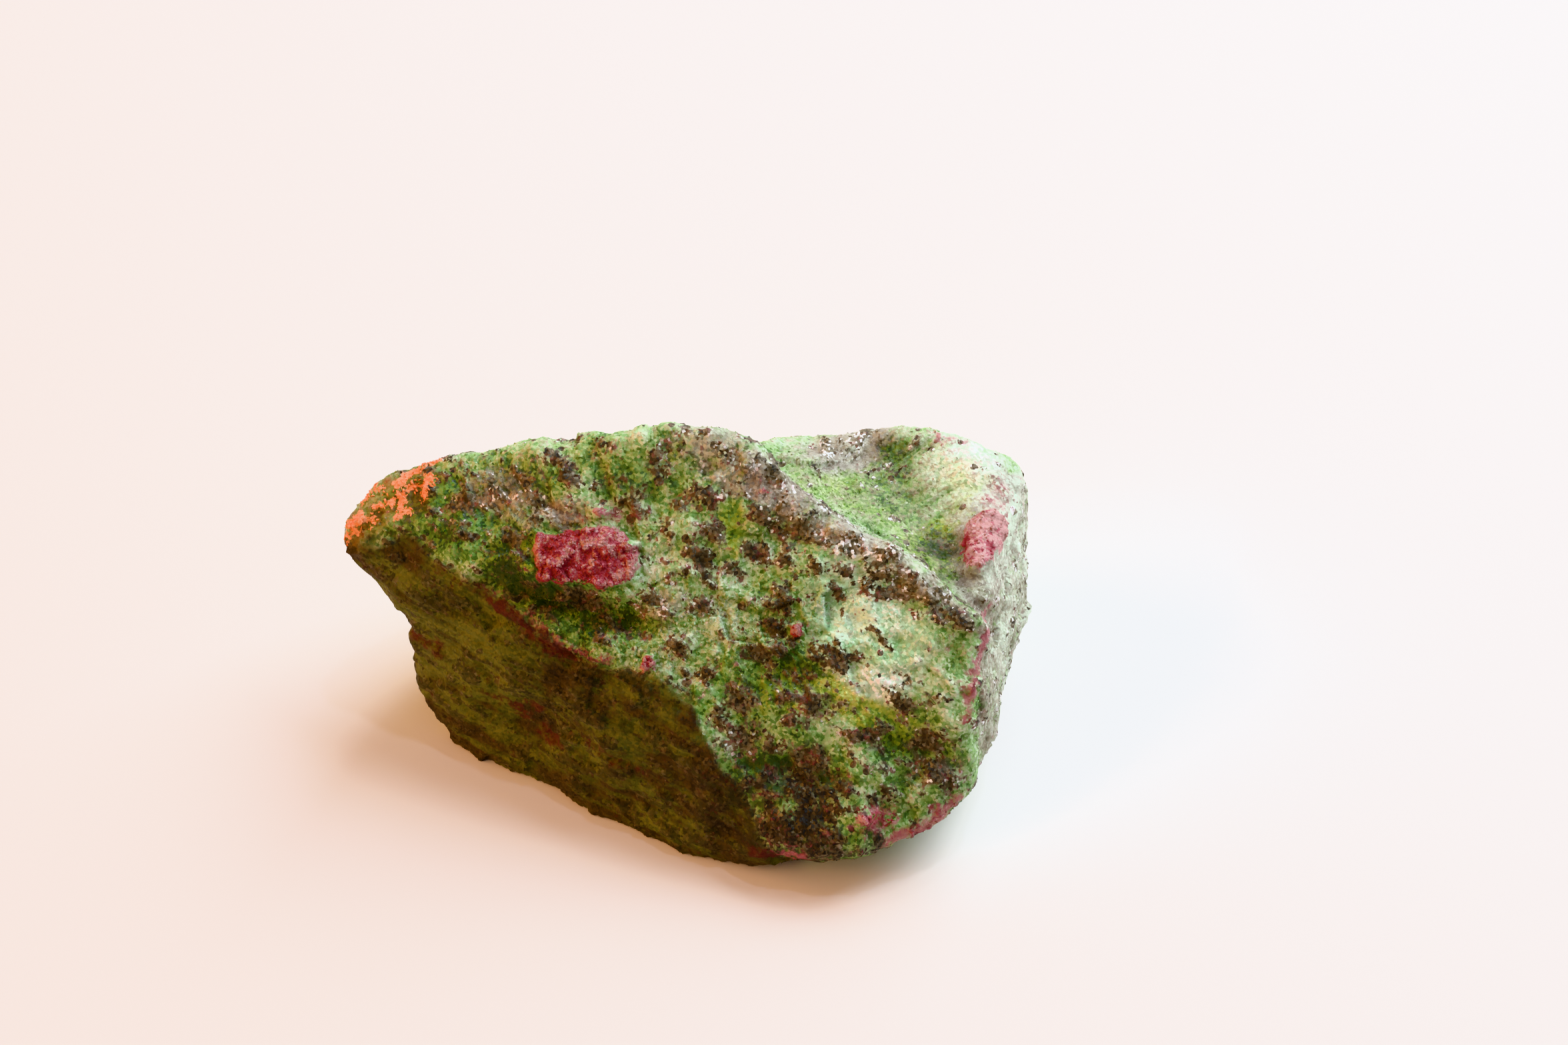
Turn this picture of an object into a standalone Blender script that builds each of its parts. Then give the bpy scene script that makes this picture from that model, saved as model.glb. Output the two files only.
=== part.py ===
"""Ruby in zoisite: one rough hand specimen, broken on every side, lying on its flattest break.

The stone is one solid. It grew as two lumps: a long wedge, whose broad face slopes to the front from a
crooked ridge, and a lower shoulder behind the ridge's right half. Each lump is the hull of its named
corners. They are joined, hollowed by a few scoop-shaped breaks, roughened, and ground flat where the
stone rests.

Frame: +X to the right along the stone's length, -Y to the front, +Z up, metres. The origin is under the
middle of the stone, on the surface that it rests on.
"""

import math

import bmesh
import bpy
from mathutils import Matrix, Vector

MM = 0.001

# Driving dimensions, in millimetres: the corners of each lump, as (x, y, z).
TIP = (-35.8, 5.8, 21.8)
HUMP = (-0.5, 10.5, 34.6)
NOSE = (13.0, -23.7, 5.2)

WEDGE_CREST = [
    TIP,
    (-33.2, 9.0, 24.2),
    (-31.2, 11.0, 26.3),
    (-26.5, 11.5, 28.3),
    (-20.5, 11.3, 29.7),
    (-15.0, 10.2, 29.9),
    (-8.0, 10.3, 31.2),
    HUMP,
    (3.5, 10.5, 33.4),
    (7.5, 9.0, 32.5),
    (11.0, 6.2, 31.0),
    (15.0, 3.6, 29.3),
    (18.0, 0.8, 27.4),
    (22.0, -2.0, 25.2),
    (25.5, -3.6, 23.9),
    (30.0, -5.2, 22.4),
]
WEDGE_LIP = [
    (-26.0, 2.5, 21.8),
    (-18.5, 0.0, 25.0),
    (-14.5, -1.0, 24.2),
    (-8.5, -2.5, 23.2),
    (-17.5, -3.2, 19.5),
    (-8.0, -7.0, 17.5),
    (1.0, -10.0, 17.2),
    (4.0, -15.5, 12.5),
    (7.5, -20.4, 6.2),
]
WEDGE_RIGHT = [
    NOSE,
    (16.5, -22.8, 6.0),
    (21.0, -21.6, 6.0),
    (26.0, -20.2, 6.8),
    (28.8, -17.6, 7.5),
    (28.5, -16.0, 11.0),
    (28.0, -13.5, 14.5),
    (28.5, -10.0, 17.5),
    (29.5, -6.5, 20.8),
    (34.0, -1.8, 7.5),
    (32.0, -7.5, 6.5),
    (29.5, -14.0, 6.5),
]
WEDGE_LEFT = [
    (-30.4, 4.6, 17.0),
    (-28.0, 3.0, 13.5),
    (-26.2, 0.8, 8.0),
    (-24.8, -3.0, 1.5),
]
WEDGE_BACK = [
    (-30.0, 13.0, 15.0),
    (-21.0, 17.5, 13.0),
    (0.0, 22.0, 12.0),
]
WEDGE_BASE = [
    (-23.8, -4.8, 0.0),
    (-20.5, -5.8, 0.0),
    (-12.0, -9.7, 0.0),
    (-7.0, -12.2, 0.0),
    (-1.5, -17.8, 0.0),
    (6.0, -17.8, 0.0),
    (18.0, -15.0, 0.0),
    (27.0, -6.0, 0.0),
    (28.0, 8.0, 0.0),
    (18.0, 18.0, 0.0),
    (0.0, 19.0, 0.0),
    (-15.0, 14.5, 0.0),
    (-23.0, 6.0, 0.0),
]

SHOULDER_RIM = [
    (4.0, 16.0, 24.8),
    (8.0, 17.0, 23.1),
    (13.5, 17.8, 22.6),
    (17.5, 18.2, 24.2),
    (20.0, 18.8, 25.4),
    (22.5, 19.2, 26.0),
    (26.0, 18.3, 25.4),
    (28.5, 17.2, 23.6),
    (31.5, 17.0, 23.2),
    (34.6, 17.0, 21.8),
    (33.2, 11.5, 22.0),
    (31.0, 1.0, 22.5),
    (30.5, -1.5, 21.8),
    (22.0, -1.0, 20.0),
    (5.0, 8.0, 22.0),
]
SHOULDER_SIDE = [
    (35.8, 16.0, 18.6),
    (36.4, 14.0, 15.0),
    (34.2, 11.2, 11.0),
    (33.8, 7.5, 9.0),
    (34.0, -1.8, 7.5),
    (30.0, 23.0, 10.0),
    (12.0, 24.5, 11.0),
]
SHOULDER_BASE = [
    (29.5, 2.0, 0.0),
    (31.0, 12.0, 0.0),
    (27.0, 19.0, 0.0),
    (12.0, 21.5, 0.0),
    (2.0, 12.0, 0.0),
]

# Breaks: name -> (centre, radii, turn about Z in degrees). Each is cut away as an ellipsoid.
BREAKS = {
    "hollow_behind_ridge": ((25.0, 8.9, 37.0), (27.0, 13.0, 15.4), -36.0),
    "back_rim_dip": ((11.5, 18.5, 31.0), (10.5, 6.0, 8.7), 0.0),
    "left_hollow": ((-42.0, 1.0, 11.5), (14.3, 15.0, 9.0), 0.0),
    "front_left_hollow": ((-19.5, -19.0, 10.0), (15.0, 13.2, 9.0), -26.6),
    "back_hollow": ((-8.0, 30.5, 15.0), (15.0, 11.0, 9.5), -8.0),
    "back_chip": ((24.0, 31.0, 7.0), (9.0, 9.5, 8.0), 20.0),
}

STOCK_BELOW = 1.5  # how far the rough lumps reach below the resting plane before it is ground flat
VOXEL = 1.45
SWELL_SIZE = 11.0
SWELL_DEPTH = 0.9
HACKLE_SIZE = 3.6
HACKLE_DEPTH = 0.45
FLAT_BAND = 0.3

STONE_GREEN = (0.13, 0.25, 0.06, 1.0)


def clear_scene():
    """Remove every object, so that the script can be run again in the same file."""
    for obj in list(bpy.data.objects):
        bpy.data.objects.remove(obj)


def new_collection(name):
    collection = bpy.data.collections.new(name)
    bpy.context.scene.collection.children.link(collection)
    return collection


def hull_object(name, corners, collection):
    """The convex lump that spans the corners, which are in millimetres."""
    bm = bmesh.new()
    for corner in corners:
        bm.verts.new(Vector(corner) * MM)
    hull = bmesh.ops.convex_hull(bm, input=bm.verts)
    spare = [g for g in hull["geom_interior"] if isinstance(g, bmesh.types.BMVert)]
    bmesh.ops.delete(bm, geom=spare, context="VERTS")
    bmesh.ops.recalc_face_normals(bm, faces=bm.faces)
    mesh = bpy.data.meshes.new(name)
    bm.to_mesh(mesh)
    bm.free()
    obj = bpy.data.objects.new(name, mesh)
    collection.objects.link(obj)
    return obj


def below(corners):
    """Each base corner again, lower by the stock that is ground away."""
    return [(x, y, z - STOCK_BELOW) for x, y, z in corners]


def break_object(name, centre, radii, turn, collection):
    """An ellipsoid where a break took material away."""
    bm = bmesh.new()
    bmesh.ops.create_icosphere(bm, subdivisions=4, radius=1.0)
    size = Matrix.Diagonal(Vector(radii) * MM).to_4x4()
    spin = Matrix.Rotation(math.radians(turn), 4, "Z")
    place = Matrix.Translation(Vector(centre) * MM)
    bmesh.ops.transform(bm, matrix=place @ spin @ size, verts=bm.verts)
    mesh = bpy.data.meshes.new(name)
    bm.to_mesh(mesh)
    bm.free()
    obj = bpy.data.objects.new(name, mesh)
    collection.objects.link(obj)
    as_tool(obj)
    return obj


def as_tool(obj):
    """Mark a shape that only cuts or joins: it is drawn as a wire and isn't part of the stone."""
    obj.hide_render = True
    obj.display_type = "WIRE"


def add_boolean(obj, tool, operation):
    modifier = obj.modifiers.new(tool.name, "BOOLEAN")
    modifier.operation = operation
    modifier.solver = "EXACT"
    modifier.object = tool


def add_remesh(obj):
    modifier = obj.modifiers.new("even_skin", "REMESH")
    modifier.mode = "VOXEL"
    modifier.voxel_size = VOXEL * MM


def add_relief(obj, name, size, depth):
    """Push the skin in and out along its normals by a cloud pattern of the given feature size."""
    texture = bpy.data.textures.new(name, "CLOUDS")
    texture.noise_scale = size * MM
    modifier = obj.modifiers.new(name, "DISPLACE")
    modifier.texture = texture
    modifier.texture_coords = "LOCAL"
    modifier.mid_level = 0.5
    modifier.strength = depth * 2.0 * MM


def applied_mesh(obj):
    """The object's mesh with its modifiers applied."""
    bpy.context.view_layer.update()
    graph = bpy.context.evaluated_depsgraph_get()
    return bpy.data.meshes.new_from_object(obj.evaluated_get(graph))


def grind_flat(mesh):
    """Cut the stone at the resting plane and close it with one flat face."""
    bm = bmesh.new()
    bm.from_mesh(mesh)
    everything = bm.verts[:] + bm.edges[:] + bm.faces[:]
    cut = bmesh.ops.bisect_plane(
        bm,
        geom=everything,
        dist=FLAT_BAND * MM,
        plane_co=(0.0, 0.0, 0.0),
        plane_no=(0.0, 0.0, 1.0),
        clear_inner=True,
    )
    rim = [g for g in cut["geom_cut"] if isinstance(g, bmesh.types.BMEdge)]
    for edge in rim:
        for vertex in edge.verts:
            vertex.co.z = 0.0
    bmesh.ops.holes_fill(bm, edges=rim, sides=0)
    bmesh.ops.triangulate(bm, faces=bm.faces)
    bmesh.ops.recalc_face_normals(bm, faces=bm.faces)
    bm.to_mesh(mesh)
    bm.free()


def centre_on_footprint(mesh):
    """Slide the mesh so that the origin is under the middle of its box."""
    xs = [v.co.x for v in mesh.vertices]
    ys = [v.co.y for v in mesh.vertices]
    middle = Vector(((min(xs) + max(xs)) / 2, (min(ys) + max(ys)) / 2, 0.0))
    mesh.transform(Matrix.Translation(-middle))


def stone_material():
    material = bpy.data.materials.new("zoisite_rock")
    material.use_nodes = True
    shader = material.node_tree.nodes["Principled BSDF"]
    shader.inputs["Base Color"].default_value = STONE_GREEN
    shader.inputs["Roughness"].default_value = 0.62
    shader.inputs["Metallic"].default_value = 0.0
    return material


def build_stone(parts, tools):
    wedge_corners = WEDGE_CREST + WEDGE_LIP + WEDGE_RIGHT + WEDGE_LEFT + WEDGE_BACK + below(WEDGE_BASE)
    shoulder_corners = SHOULDER_RIM + SHOULDER_SIDE + below(SHOULDER_BASE)
    wedge = hull_object("wedge", wedge_corners, tools)
    shoulder = hull_object("shoulder", shoulder_corners, tools)
    as_tool(wedge)
    as_tool(shoulder)
    add_boolean(wedge, shoulder, "UNION")
    for name, (centre, radii, turn) in BREAKS.items():
        add_boolean(wedge, break_object(name, centre, radii, turn, tools), "DIFFERENCE")
    add_remesh(wedge)
    add_relief(wedge, "swell", SWELL_SIZE, SWELL_DEPTH)
    add_relief(wedge, "hackle", HACKLE_SIZE, HACKLE_DEPTH)
    mesh = applied_mesh(wedge)
    mesh.name = "rough_stone"
    grind_flat(mesh)
    centre_on_footprint(mesh)
    mesh.materials.clear()
    mesh.materials.append(stone_material())
    stone = bpy.data.objects.new("rough_stone", mesh)
    parts.objects.link(stone)
    stone.data.shade_smooth()
    return stone


def main():
    clear_scene()
    parts = new_collection("ruby_in_zoisite")
    tools = new_collection("shaping_tools")
    build_stone(parts, tools)


main()
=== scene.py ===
"""Ruby in zoisite, one rough hand specimen: its looks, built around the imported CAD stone.

The stone's skin starts as the skin of a box of square cells, wrapped onto the CAD solid and evened out.
Noise fields then roughen it, and fields in millimetres say which mineral every point of it is made of.
Crystals of hornblende, zoisite and ruby and flakes of crust stand in the skin as small faceted solids. The
fields ride on every mesh as attributes, and the rock's material reads them beside finer patterns of its
own. Lengths are millimetres unless a name ends in _m; meshes are written in metres.
"""

import logging
import math
from collections.abc import Callable
from dataclasses import dataclass, field
from enum import Enum
from typing import Any, Protocol

import bmesh
import bpy
import numpy as np
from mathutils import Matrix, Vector
from numpy.typing import NDArray


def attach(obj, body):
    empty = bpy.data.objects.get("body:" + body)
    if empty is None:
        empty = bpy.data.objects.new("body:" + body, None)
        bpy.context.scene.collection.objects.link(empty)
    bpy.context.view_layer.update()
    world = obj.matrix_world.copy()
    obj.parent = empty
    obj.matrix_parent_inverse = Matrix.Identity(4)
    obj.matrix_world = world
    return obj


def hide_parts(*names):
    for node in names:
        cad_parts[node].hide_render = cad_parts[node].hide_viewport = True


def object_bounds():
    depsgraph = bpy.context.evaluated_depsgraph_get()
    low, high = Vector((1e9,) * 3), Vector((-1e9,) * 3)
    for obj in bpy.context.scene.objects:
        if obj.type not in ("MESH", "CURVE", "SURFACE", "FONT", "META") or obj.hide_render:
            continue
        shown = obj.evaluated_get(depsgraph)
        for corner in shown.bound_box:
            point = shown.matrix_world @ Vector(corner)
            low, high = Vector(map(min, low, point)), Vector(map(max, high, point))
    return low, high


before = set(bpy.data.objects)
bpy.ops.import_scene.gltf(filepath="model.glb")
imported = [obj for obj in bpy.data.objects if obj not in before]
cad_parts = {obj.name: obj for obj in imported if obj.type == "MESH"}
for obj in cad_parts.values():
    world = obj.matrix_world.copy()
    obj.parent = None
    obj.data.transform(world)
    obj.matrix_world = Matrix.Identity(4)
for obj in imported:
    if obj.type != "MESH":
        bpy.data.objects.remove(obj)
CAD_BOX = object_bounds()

log = logging.getLogger("ruby_in_zoisite")

Floats = NDArray[np.float64]
Ints = NDArray[np.int64]
Triple = tuple[float, float, float]
Fields = dict[str, Floats]

MM = 0.001
STONE_NODE = "rough_stone"
BAKE_MAP = "OFBake"
WAVE_GAIN = 1.6  # brings gradient noise up to about -1..1
STAR_RADIUS = 0.46  # of a crystal's star in its bake map tile, over the tile's side
CLEAR_OF_FLOOR = 0.02  # how high the lowest corner of a crystal stays
BARE_RIM = 0.4  # crystals stand only on what is higher than this
FEWER_ON_FOLIATED = 0.93  # the share of the crystals that the foliated face goes without


class Shade(Enum):
    """The colours, as sRGB hex values."""

    ZOISITE_DEEP = "#2d4417"
    ZOISITE_MID = "#557a34"
    ZOISITE_LIGHT = "#85a663"
    ZOISITE_MINT = "#aec59c"
    ZOISITE_FROST = "#cfdfc8"
    OLIVE_TINT = "#eee696"
    TURQUOISE_TINT = "#d2efd2"
    DUST_DARK = "#53483a"
    DUST_BROWN = "#867969"
    DUST_GREY = "#aaa796"
    # The foliated face's colours: darker than its zoisite as painted shade, since that face turns away from
    # the lights.
    SHADED_FOLIATED_DARK = "#251a09"
    SHADED_FOLIATED_BROWN = "#3b2e0f"
    SHADED_FOLIATED_OLIVE = "#454716"
    SHADED_FOLIATED_OCHRE = "#5c5e26"
    HORNBLENDE_PITCH = "#15120b"
    HORNBLENDE_BLACK = "#2b2518"
    HORNBLENDE_BROWN = "#5a503a"
    HORNBLENDE_DUSTY = "#8b826a"
    RUBY_DEEP = "#6b191c"
    RUBY_CRIMSON = "#932f3a"
    RUBY_ROSE = "#a75b63"
    RUBY_FROST = "#b98a86"
    # The ruby smear's darker copy for the foliated face, as painted shade.
    SHADED_RUBY_SMEAR = "#481015"
    CRUST_GROUND = "#7d5526"
    # The crust flakes' colour, painted coral as warm lamp light, and their painted highlight.
    LAMPLIT_CORAL = "#ff945c"
    CORAL_PAINTED_HIGHLIGHT = "#ffb88e"
    PALE_PAPER = "#f6f2f0"
    WINDOW_LIGHT = "#eaf5ff"
    LAMP_LIGHT = "#ffb063"
    SKY_LIGHT = "#cfe2ff"
    ROOM_LIGHT = "#fff0e3"


def linear(shade: Shade) -> tuple[float, float, float, float]:
    """Turn an sRGB hex value into linear light.

    Args:
        shade: The named colour.

    Returns:
        Red, green, blue and an alpha of one.
    """
    channels = [int(shade.value[i : i + 2], 16) / 255 for i in (1, 3, 5)]
    light = [c / 12.92 if c <= 0.04045 else ((c + 0.055) / 1.055) ** 2.4 for c in channels]
    return (light[0], light[1], light[2], 1.0)


def unit(vectors: Any) -> Floats:
    """Scale each vector to length one."""
    rows = np.asarray(vectors, np.float64)
    return rows / np.maximum(np.linalg.norm(rows, axis=-1, keepdims=True), 1e-12)


def smooth_step(values: Floats, low: float, high: float) -> Floats:
    """Rise from 0 at low to 1 at high along 3t^2 - 2t^3."""
    t = np.clip((values - low) / (high - low), 0.0, 1.0)
    return t * t * (3.0 - 2.0 * t)


@dataclass(frozen=True)
class Cells:
    """The nearest seed of a jittered lattice, for each point.

    Attributes:
        nearest: Distance to the nearest seed.
        offset: The vector from the seed to the point.
        chance: Three random numbers in 0..1 for each point's cell.
    """

    nearest: Floats
    offset: Floats
    chance: Floats


@dataclass(frozen=True)
class Randomness:
    """Noise that gives the same value for the same place and seed."""

    seed: int

    def hashed(self, cells: Ints, channel: int) -> Floats:
        """Mix three whole numbers into one random number in 0..1.

        Args:
            cells: Lattice cells, one row each.
            channel: Which independent random number is wanted.

        Returns:
            One number for each row.
        """
        x, y, z = (cells[..., i].astype(np.uint64) for i in range(3))
        mixed = x * np.uint64(0x9E3779B97F4A7C15) ^ y * np.uint64(0xC2B2AE3D27D4EB4F)
        mixed ^= z * np.uint64(0x165667B19E3779F9)
        mixed ^= np.uint64((self.seed * 7919 + channel * 104729 + 1) % (1 << 63))
        for factor in (0xFF51AFD7ED558CCD, 0xC4CEB9FE1A85EC53):
            mixed ^= mixed >> np.uint64(33)
            mixed *= np.uint64(factor)
        mixed ^= mixed >> np.uint64(32)
        return (mixed >> np.uint64(11)).astype(np.float64) / float(1 << 53)

    def waves(self, points: Floats, size: float) -> Floats:
        """Gradient noise: random slopes at lattice corners, blended by the quintic fade.

        Args:
            points: Places, one row each.
            size: The lattice spacing.

        Returns:
            About -1..1 for each point.
        """
        place = points / size
        corner = np.floor(place).astype(np.int64)
        local = place - corner
        fade = local**3 * (local * (local * 6.0 - 15.0) + 10.0)
        total = np.zeros(len(points))
        for step in np.ndindex(2, 2, 2):
            cell = corner + np.array(step)
            slope = np.stack([self.hashed(cell, c) for c in range(3)], axis=-1) * 2.0 - 1.0
            weight = np.prod(np.where(np.array(step) == 1, fade, 1.0 - fade), axis=-1)
            total += weight * np.sum(slope * (local - np.array(step)), axis=-1)
        return total * WAVE_GAIN

    def clouds(self, points: Floats, size: float, octaves: int = 4, gain: float = 0.5) -> Floats:
        """Fractal noise: octaves of waves, each half the size and gain times the height.

        Args:
            points: Places, one row each.
            size: The lattice spacing of the first octave.
            octaves: How many there are.
            gain: The height of each over the one before.

        Returns:
            About -1..1 for each point.
        """
        total = np.zeros(len(points))
        for octave in range(octaves):
            total += gain**octave * Randomness(self.seed + 31 * octave).waves(points, size / 2.0**octave)
        return total

    def wobble(self, points: Floats, size: float) -> Floats:
        """Three clouds, as a vector that pushes each point aside."""
        return np.stack([Randomness(self.seed + i).clouds(points, size, 3) for i in range(3)], axis=-1)

    def cells(self, points: Floats, size: float) -> Cells:
        """Worley cells: the nearest of one random seed in each lattice cube.

        Args:
            points: Places, one row each.
            size: The lattice spacing.

        Returns:
            Distances, offsets and random numbers, in the points' own unit.
        """
        place = points / size
        corner = np.floor(place).astype(np.int64)
        nearest = np.full(len(points), np.inf)
        offset = np.zeros_like(points)
        chosen = corner.copy()
        for step in np.ndindex(3, 3, 3):
            cell = corner + np.array(step) - 1
            jitter = np.stack([self.hashed(cell, c) for c in range(3)], axis=-1)
            away = place - (cell + jitter)
            distance = np.linalg.norm(away, axis=-1)
            closer = distance < nearest
            nearest = np.where(closer, distance, nearest)
            offset[closer] = away[closer]
            chosen[closer] = cell[closer]
        chance = np.stack([self.hashed(chosen, c + 10) for c in range(3)], axis=-1)
        return Cells(nearest * size, offset * size, chance)

    def facets(self, points: Floats, size: float, slope: float) -> Floats:
        """Flat breaks: in each cell the height is a plane tilted at random through the cell's seed."""
        found = self.cells(points, size)
        return np.sum(found.offset * (found.chance - 0.5) * 2.0 * slope, axis=-1)


@dataclass(frozen=True)
class BoxSkin:
    """The skin of a box of square cells, as shared vertices and outward quads.

    Attributes:
        counts: How many cells the box has along X, Y and Z.
        gutter: Cells left bare between two sides of the bake map.
    """

    counts: tuple[int, int, int]
    gutter: float = 3.0

    def build(self) -> tuple[Floats, Ints, Floats]:
        """Number the lattice points of the six sides once each.

        Each side is a grid of two whole numbers. A point shared by two sides has the same three
        lattice coordinates on both, so it becomes one vertex and the skin is closed.

        Returns:
            Vertex places in -1..1, quads, and a bake map place for each quad corner.
        """
        n = np.array(self.counts)
        keys: list[Ints] = []
        maps: list[Floats] = []
        for row, (a, b, c) in enumerate(((0, 1, 2), (1, 2, 0), (2, 0, 1))):
            for end in (0, 1):
                u, v = np.meshgrid(np.arange(n[b]), np.arange(n[c]), indexing="ij")
                ring = ((0, 0), (1, 0), (1, 1), (0, 1)) if end else ((0, 0), (0, 1), (1, 1), (1, 0))
                corners = np.zeros((n[b] * n[c], 4, 3), np.int64)
                for slot, (du, dv) in enumerate(ring):
                    corners[:, slot, a] = n[a] * end
                    corners[:, slot, b] = (u + du).ravel()
                    corners[:, slot, c] = (v + dv).ravel()
                keys.append(corners)
                wide, high = (b, c) if b < c else (c, b)
                left = self.gutter + end * (n[wide] + self.gutter)
                bottom = self.gutter + row * self.gutter + (0, n[2], 2 * n[2])[row]
                flat = np.stack([corners[..., wide], corners[..., high]], axis=-1)
                maps.append(flat + np.array([left, bottom]))
        lattice = np.concatenate(keys).reshape(-1, 3)
        code = lattice @ np.array([1, 1000, 1000000])
        _, first, index = np.unique(code, return_index=True, return_inverse=True)
        places = lattice[first] / n * 2.0 - 1.0
        side = 2.0 * n[0] + 3.0 * self.gutter
        return places, index.reshape(-1, 4), np.concatenate(maps).reshape(-1, 2) / side


def vertex_places(mesh: bpy.types.Mesh) -> Floats:
    """Read a mesh's vertex places as an array.

    Args:
        mesh: The mesh.

    Returns:
        One row for each vertex, in metres.
    """
    flat = np.empty(len(mesh.vertices) * 3, np.float32)
    mesh.vertices.foreach_get("co", flat)
    return flat.reshape(-1, 3).astype(np.float64)


def wrapped(points: Floats, quads: Ints, target: bpy.types.Object, method: str) -> Floats:
    """Move points onto a surface with a Shrinkwrap modifier.

    Args:
        points: Vertex places in millimetres.
        quads: The mesh's faces, which give the normals that a projection follows.
        target: The object to land on.
        method: The modifier's way of landing, PROJECT or NEAREST_SURFACEPOINT.

    Returns:
        The new places in millimetres.
    """
    mesh = bpy.data.meshes.new("wrapping")
    mesh.from_pydata((points * MM).tolist(), [], quads.tolist())
    obj = bpy.data.objects.new("wrapping", mesh)
    bpy.context.scene.collection.objects.link(obj)
    modifier = obj.modifiers.new("onto_stone", "SHRINKWRAP")
    modifier.target = target
    modifier.wrap_method = method
    modifier.use_negative_direction = True
    modifier.use_positive_direction = False
    bpy.context.view_layer.update()
    graph = bpy.context.evaluated_depsgraph_get()
    landed = vertex_places(obj.evaluated_get(graph).to_mesh()) / MM
    bpy.data.objects.remove(obj)
    bpy.data.meshes.remove(mesh)
    return landed


def shared_edges(quads: Ints) -> Ints:
    """List each edge of the quads once, as its two vertices."""
    pairs = [quads[:, [i, (i + 1) % 4]] for i in range(4)]
    return np.unique(np.sort(np.concatenate(pairs), axis=1), axis=0)


def neighbour_mean(points: Floats, edges: Ints) -> Floats:
    """Average, for each point, the points that it shares an edge with.

    Args:
        points: Vertex places.
        edges: Each edge once, as its two vertices.

    Returns:
        The sum of each point's neighbours over their number.
    """
    ends = np.concatenate([edges, edges[:, ::-1]])
    count = np.bincount(ends[:, 0], minlength=len(points))
    sums = [np.bincount(ends[:, 0], points[ends[:, 1], i], len(points)) for i in range(3)]
    return np.stack(sums, axis=-1) / count[:, None]


def relaxed(points: Floats, edges: Ints, share: float = 0.5) -> Floats:
    """Move each point a share of the way to the mean of its neighbours."""
    return (1.0 - share) * points + share * neighbour_mean(points, edges)


def vertex_normals(points: Floats, quads: Ints) -> Floats:
    """Sum the cross products of each quad's diagonals at its corners, and scale to length one.

    Args:
        points: Vertex places.
        quads: The faces.

    Returns:
        An outward direction for each vertex.
    """
    corners = points[quads]
    cross = np.cross(corners[:, 2] - corners[:, 0], corners[:, 3] - corners[:, 1])
    sums = [np.bincount(quads.ravel(), np.repeat(cross[:, i], 4), len(points)) for i in range(3)]
    return unit(np.stack(sums, axis=-1))


def segment_distance(points: Floats, start: Floats, end: Floats) -> Floats:
    """Distance from each point to a straight stretch, in two or three dimensions.

    Args:
        points: Places, one row each.
        start: One end of the stretch.
        end: Its other end.

    Returns:
        The distance to the nearest place on it, which is the point's own share of the run, kept in 0..1.
    """
    run = end - start
    share = np.clip((points - start) @ run / (run @ run), 0.0, 1.0)
    return np.linalg.norm(points - start - share[:, None] * run, axis=-1)


A_OUT = (0.0, -0.63, 0.78)  # the way out of the broad sloping face
B_OUT = (-0.4, -0.88, 0.2)  # the way out of the foliated face on the lower left
GRAIN_RUN = (0.87, -0.45, -0.2)  # the way that the foliation and the streaks run
UP = (0.0, 0.0, 1.0)
TIP_RUN, TIP_OUT = (0.95, 0.0, 0.2), (-0.2, -0.45, 0.87)  # along and out of the broad face's left end
NOSE_RUN, NOSE_OUT = (0.9, 0.35, 0.1), (0.15, -0.75, 0.63)  # along and out of the nose
LIP_RUN = (0.95, -0.2, -0.1)  # along the edge over the foliated face
END_RUN, END_OUT = (0.0, 1.0, 0.2), (0.95, -0.2, 0.2)  # along and out of the right end
SHOULDER_RUN = (1.0, -0.4, 0.0)  # along the shoulder behind the ridge


class Body(Protocol):
    """Something made of one mineral in the rock, which the skin cuts through."""

    def depth(self, points: Floats) -> Floats:
        """Depth of each point inside the body in millimetres, negative outside."""
        ...


@dataclass(frozen=True)
class Lens:
    """An ellipsoid.

    Attributes:
        centre: Its middle.
        reach: Half its size along its length, across it in the skin, and into the stone.
        along: The way that its length runs.
        outward: The way out of the stone there.
    """

    centre: Triple
    reach: Triple
    along: Triple = (1.0, 0.0, 0.0)
    outward: Triple = A_OUT

    def depth(self, points: Floats) -> Floats:
        """(1 - r) times the shorter reach in the skin, where r is the ellipsoid's own radius.

        Args:
            points: Places, one row each.

        Returns:
            Depth inside, negative outside.
        """
        out = unit(self.outward)
        side = unit(np.cross(out, self.along))
        axes = np.stack([np.cross(side, out), side, out])
        local = (points - np.array(self.centre)) @ axes.T / np.array(self.reach)
        return (1.0 - np.linalg.norm(local, axis=-1)) * min(self.reach[0], self.reach[1])


@dataclass(frozen=True)
class Block:
    """A slab with a straight-sided outline.

    Attributes:
        centre: Where the outline's origin is.
        along: The way that the outline's first coordinate runs.
        outward: The way out of the stone, which the slab's thickness runs along.
        outline: The corners, each as (along, across), in order round the slab.
        reach: Half its thickness.
    """

    centre: Triple
    along: Triple
    outward: Triple
    outline: tuple[tuple[float, float], ...]
    reach: float

    def depth(self, points: Floats) -> Floats:
        """The lesser of the signed distance to the outline and of that to the slab's two flats.

        A point is inside the outline where a ray along the first coordinate crosses it an odd number
        of times.

        Args:
            points: Places, one row each.

        Returns:
            Depth inside, negative outside.
        """
        out = unit(self.outward)
        side = unit(np.cross(out, self.along))
        local = (points - np.array(self.centre)) @ np.stack([np.cross(side, out), side, out]).T
        flat = local[:, :2]
        edge = np.full(len(points), np.inf)
        inside = np.zeros(len(points), bool)
        corners = np.array(self.outline)
        for start, end in zip(corners, np.roll(corners, -1, axis=0)):
            edge = np.minimum(edge, segment_distance(flat, start, end))
            spans = (start[1] > flat[:, 1]) != (end[1] > flat[:, 1])
            rise = end[1] - start[1] if abs(end[1] - start[1]) > 1e-9 else 1e-9
            cross = start[0] + (flat[:, 1] - start[1]) * (end[0] - start[0]) / rise
            inside ^= spans & (flat[:, 0] < cross)
        return np.minimum(np.where(inside, edge, -edge), self.reach - np.abs(local[:, 2]))


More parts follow.
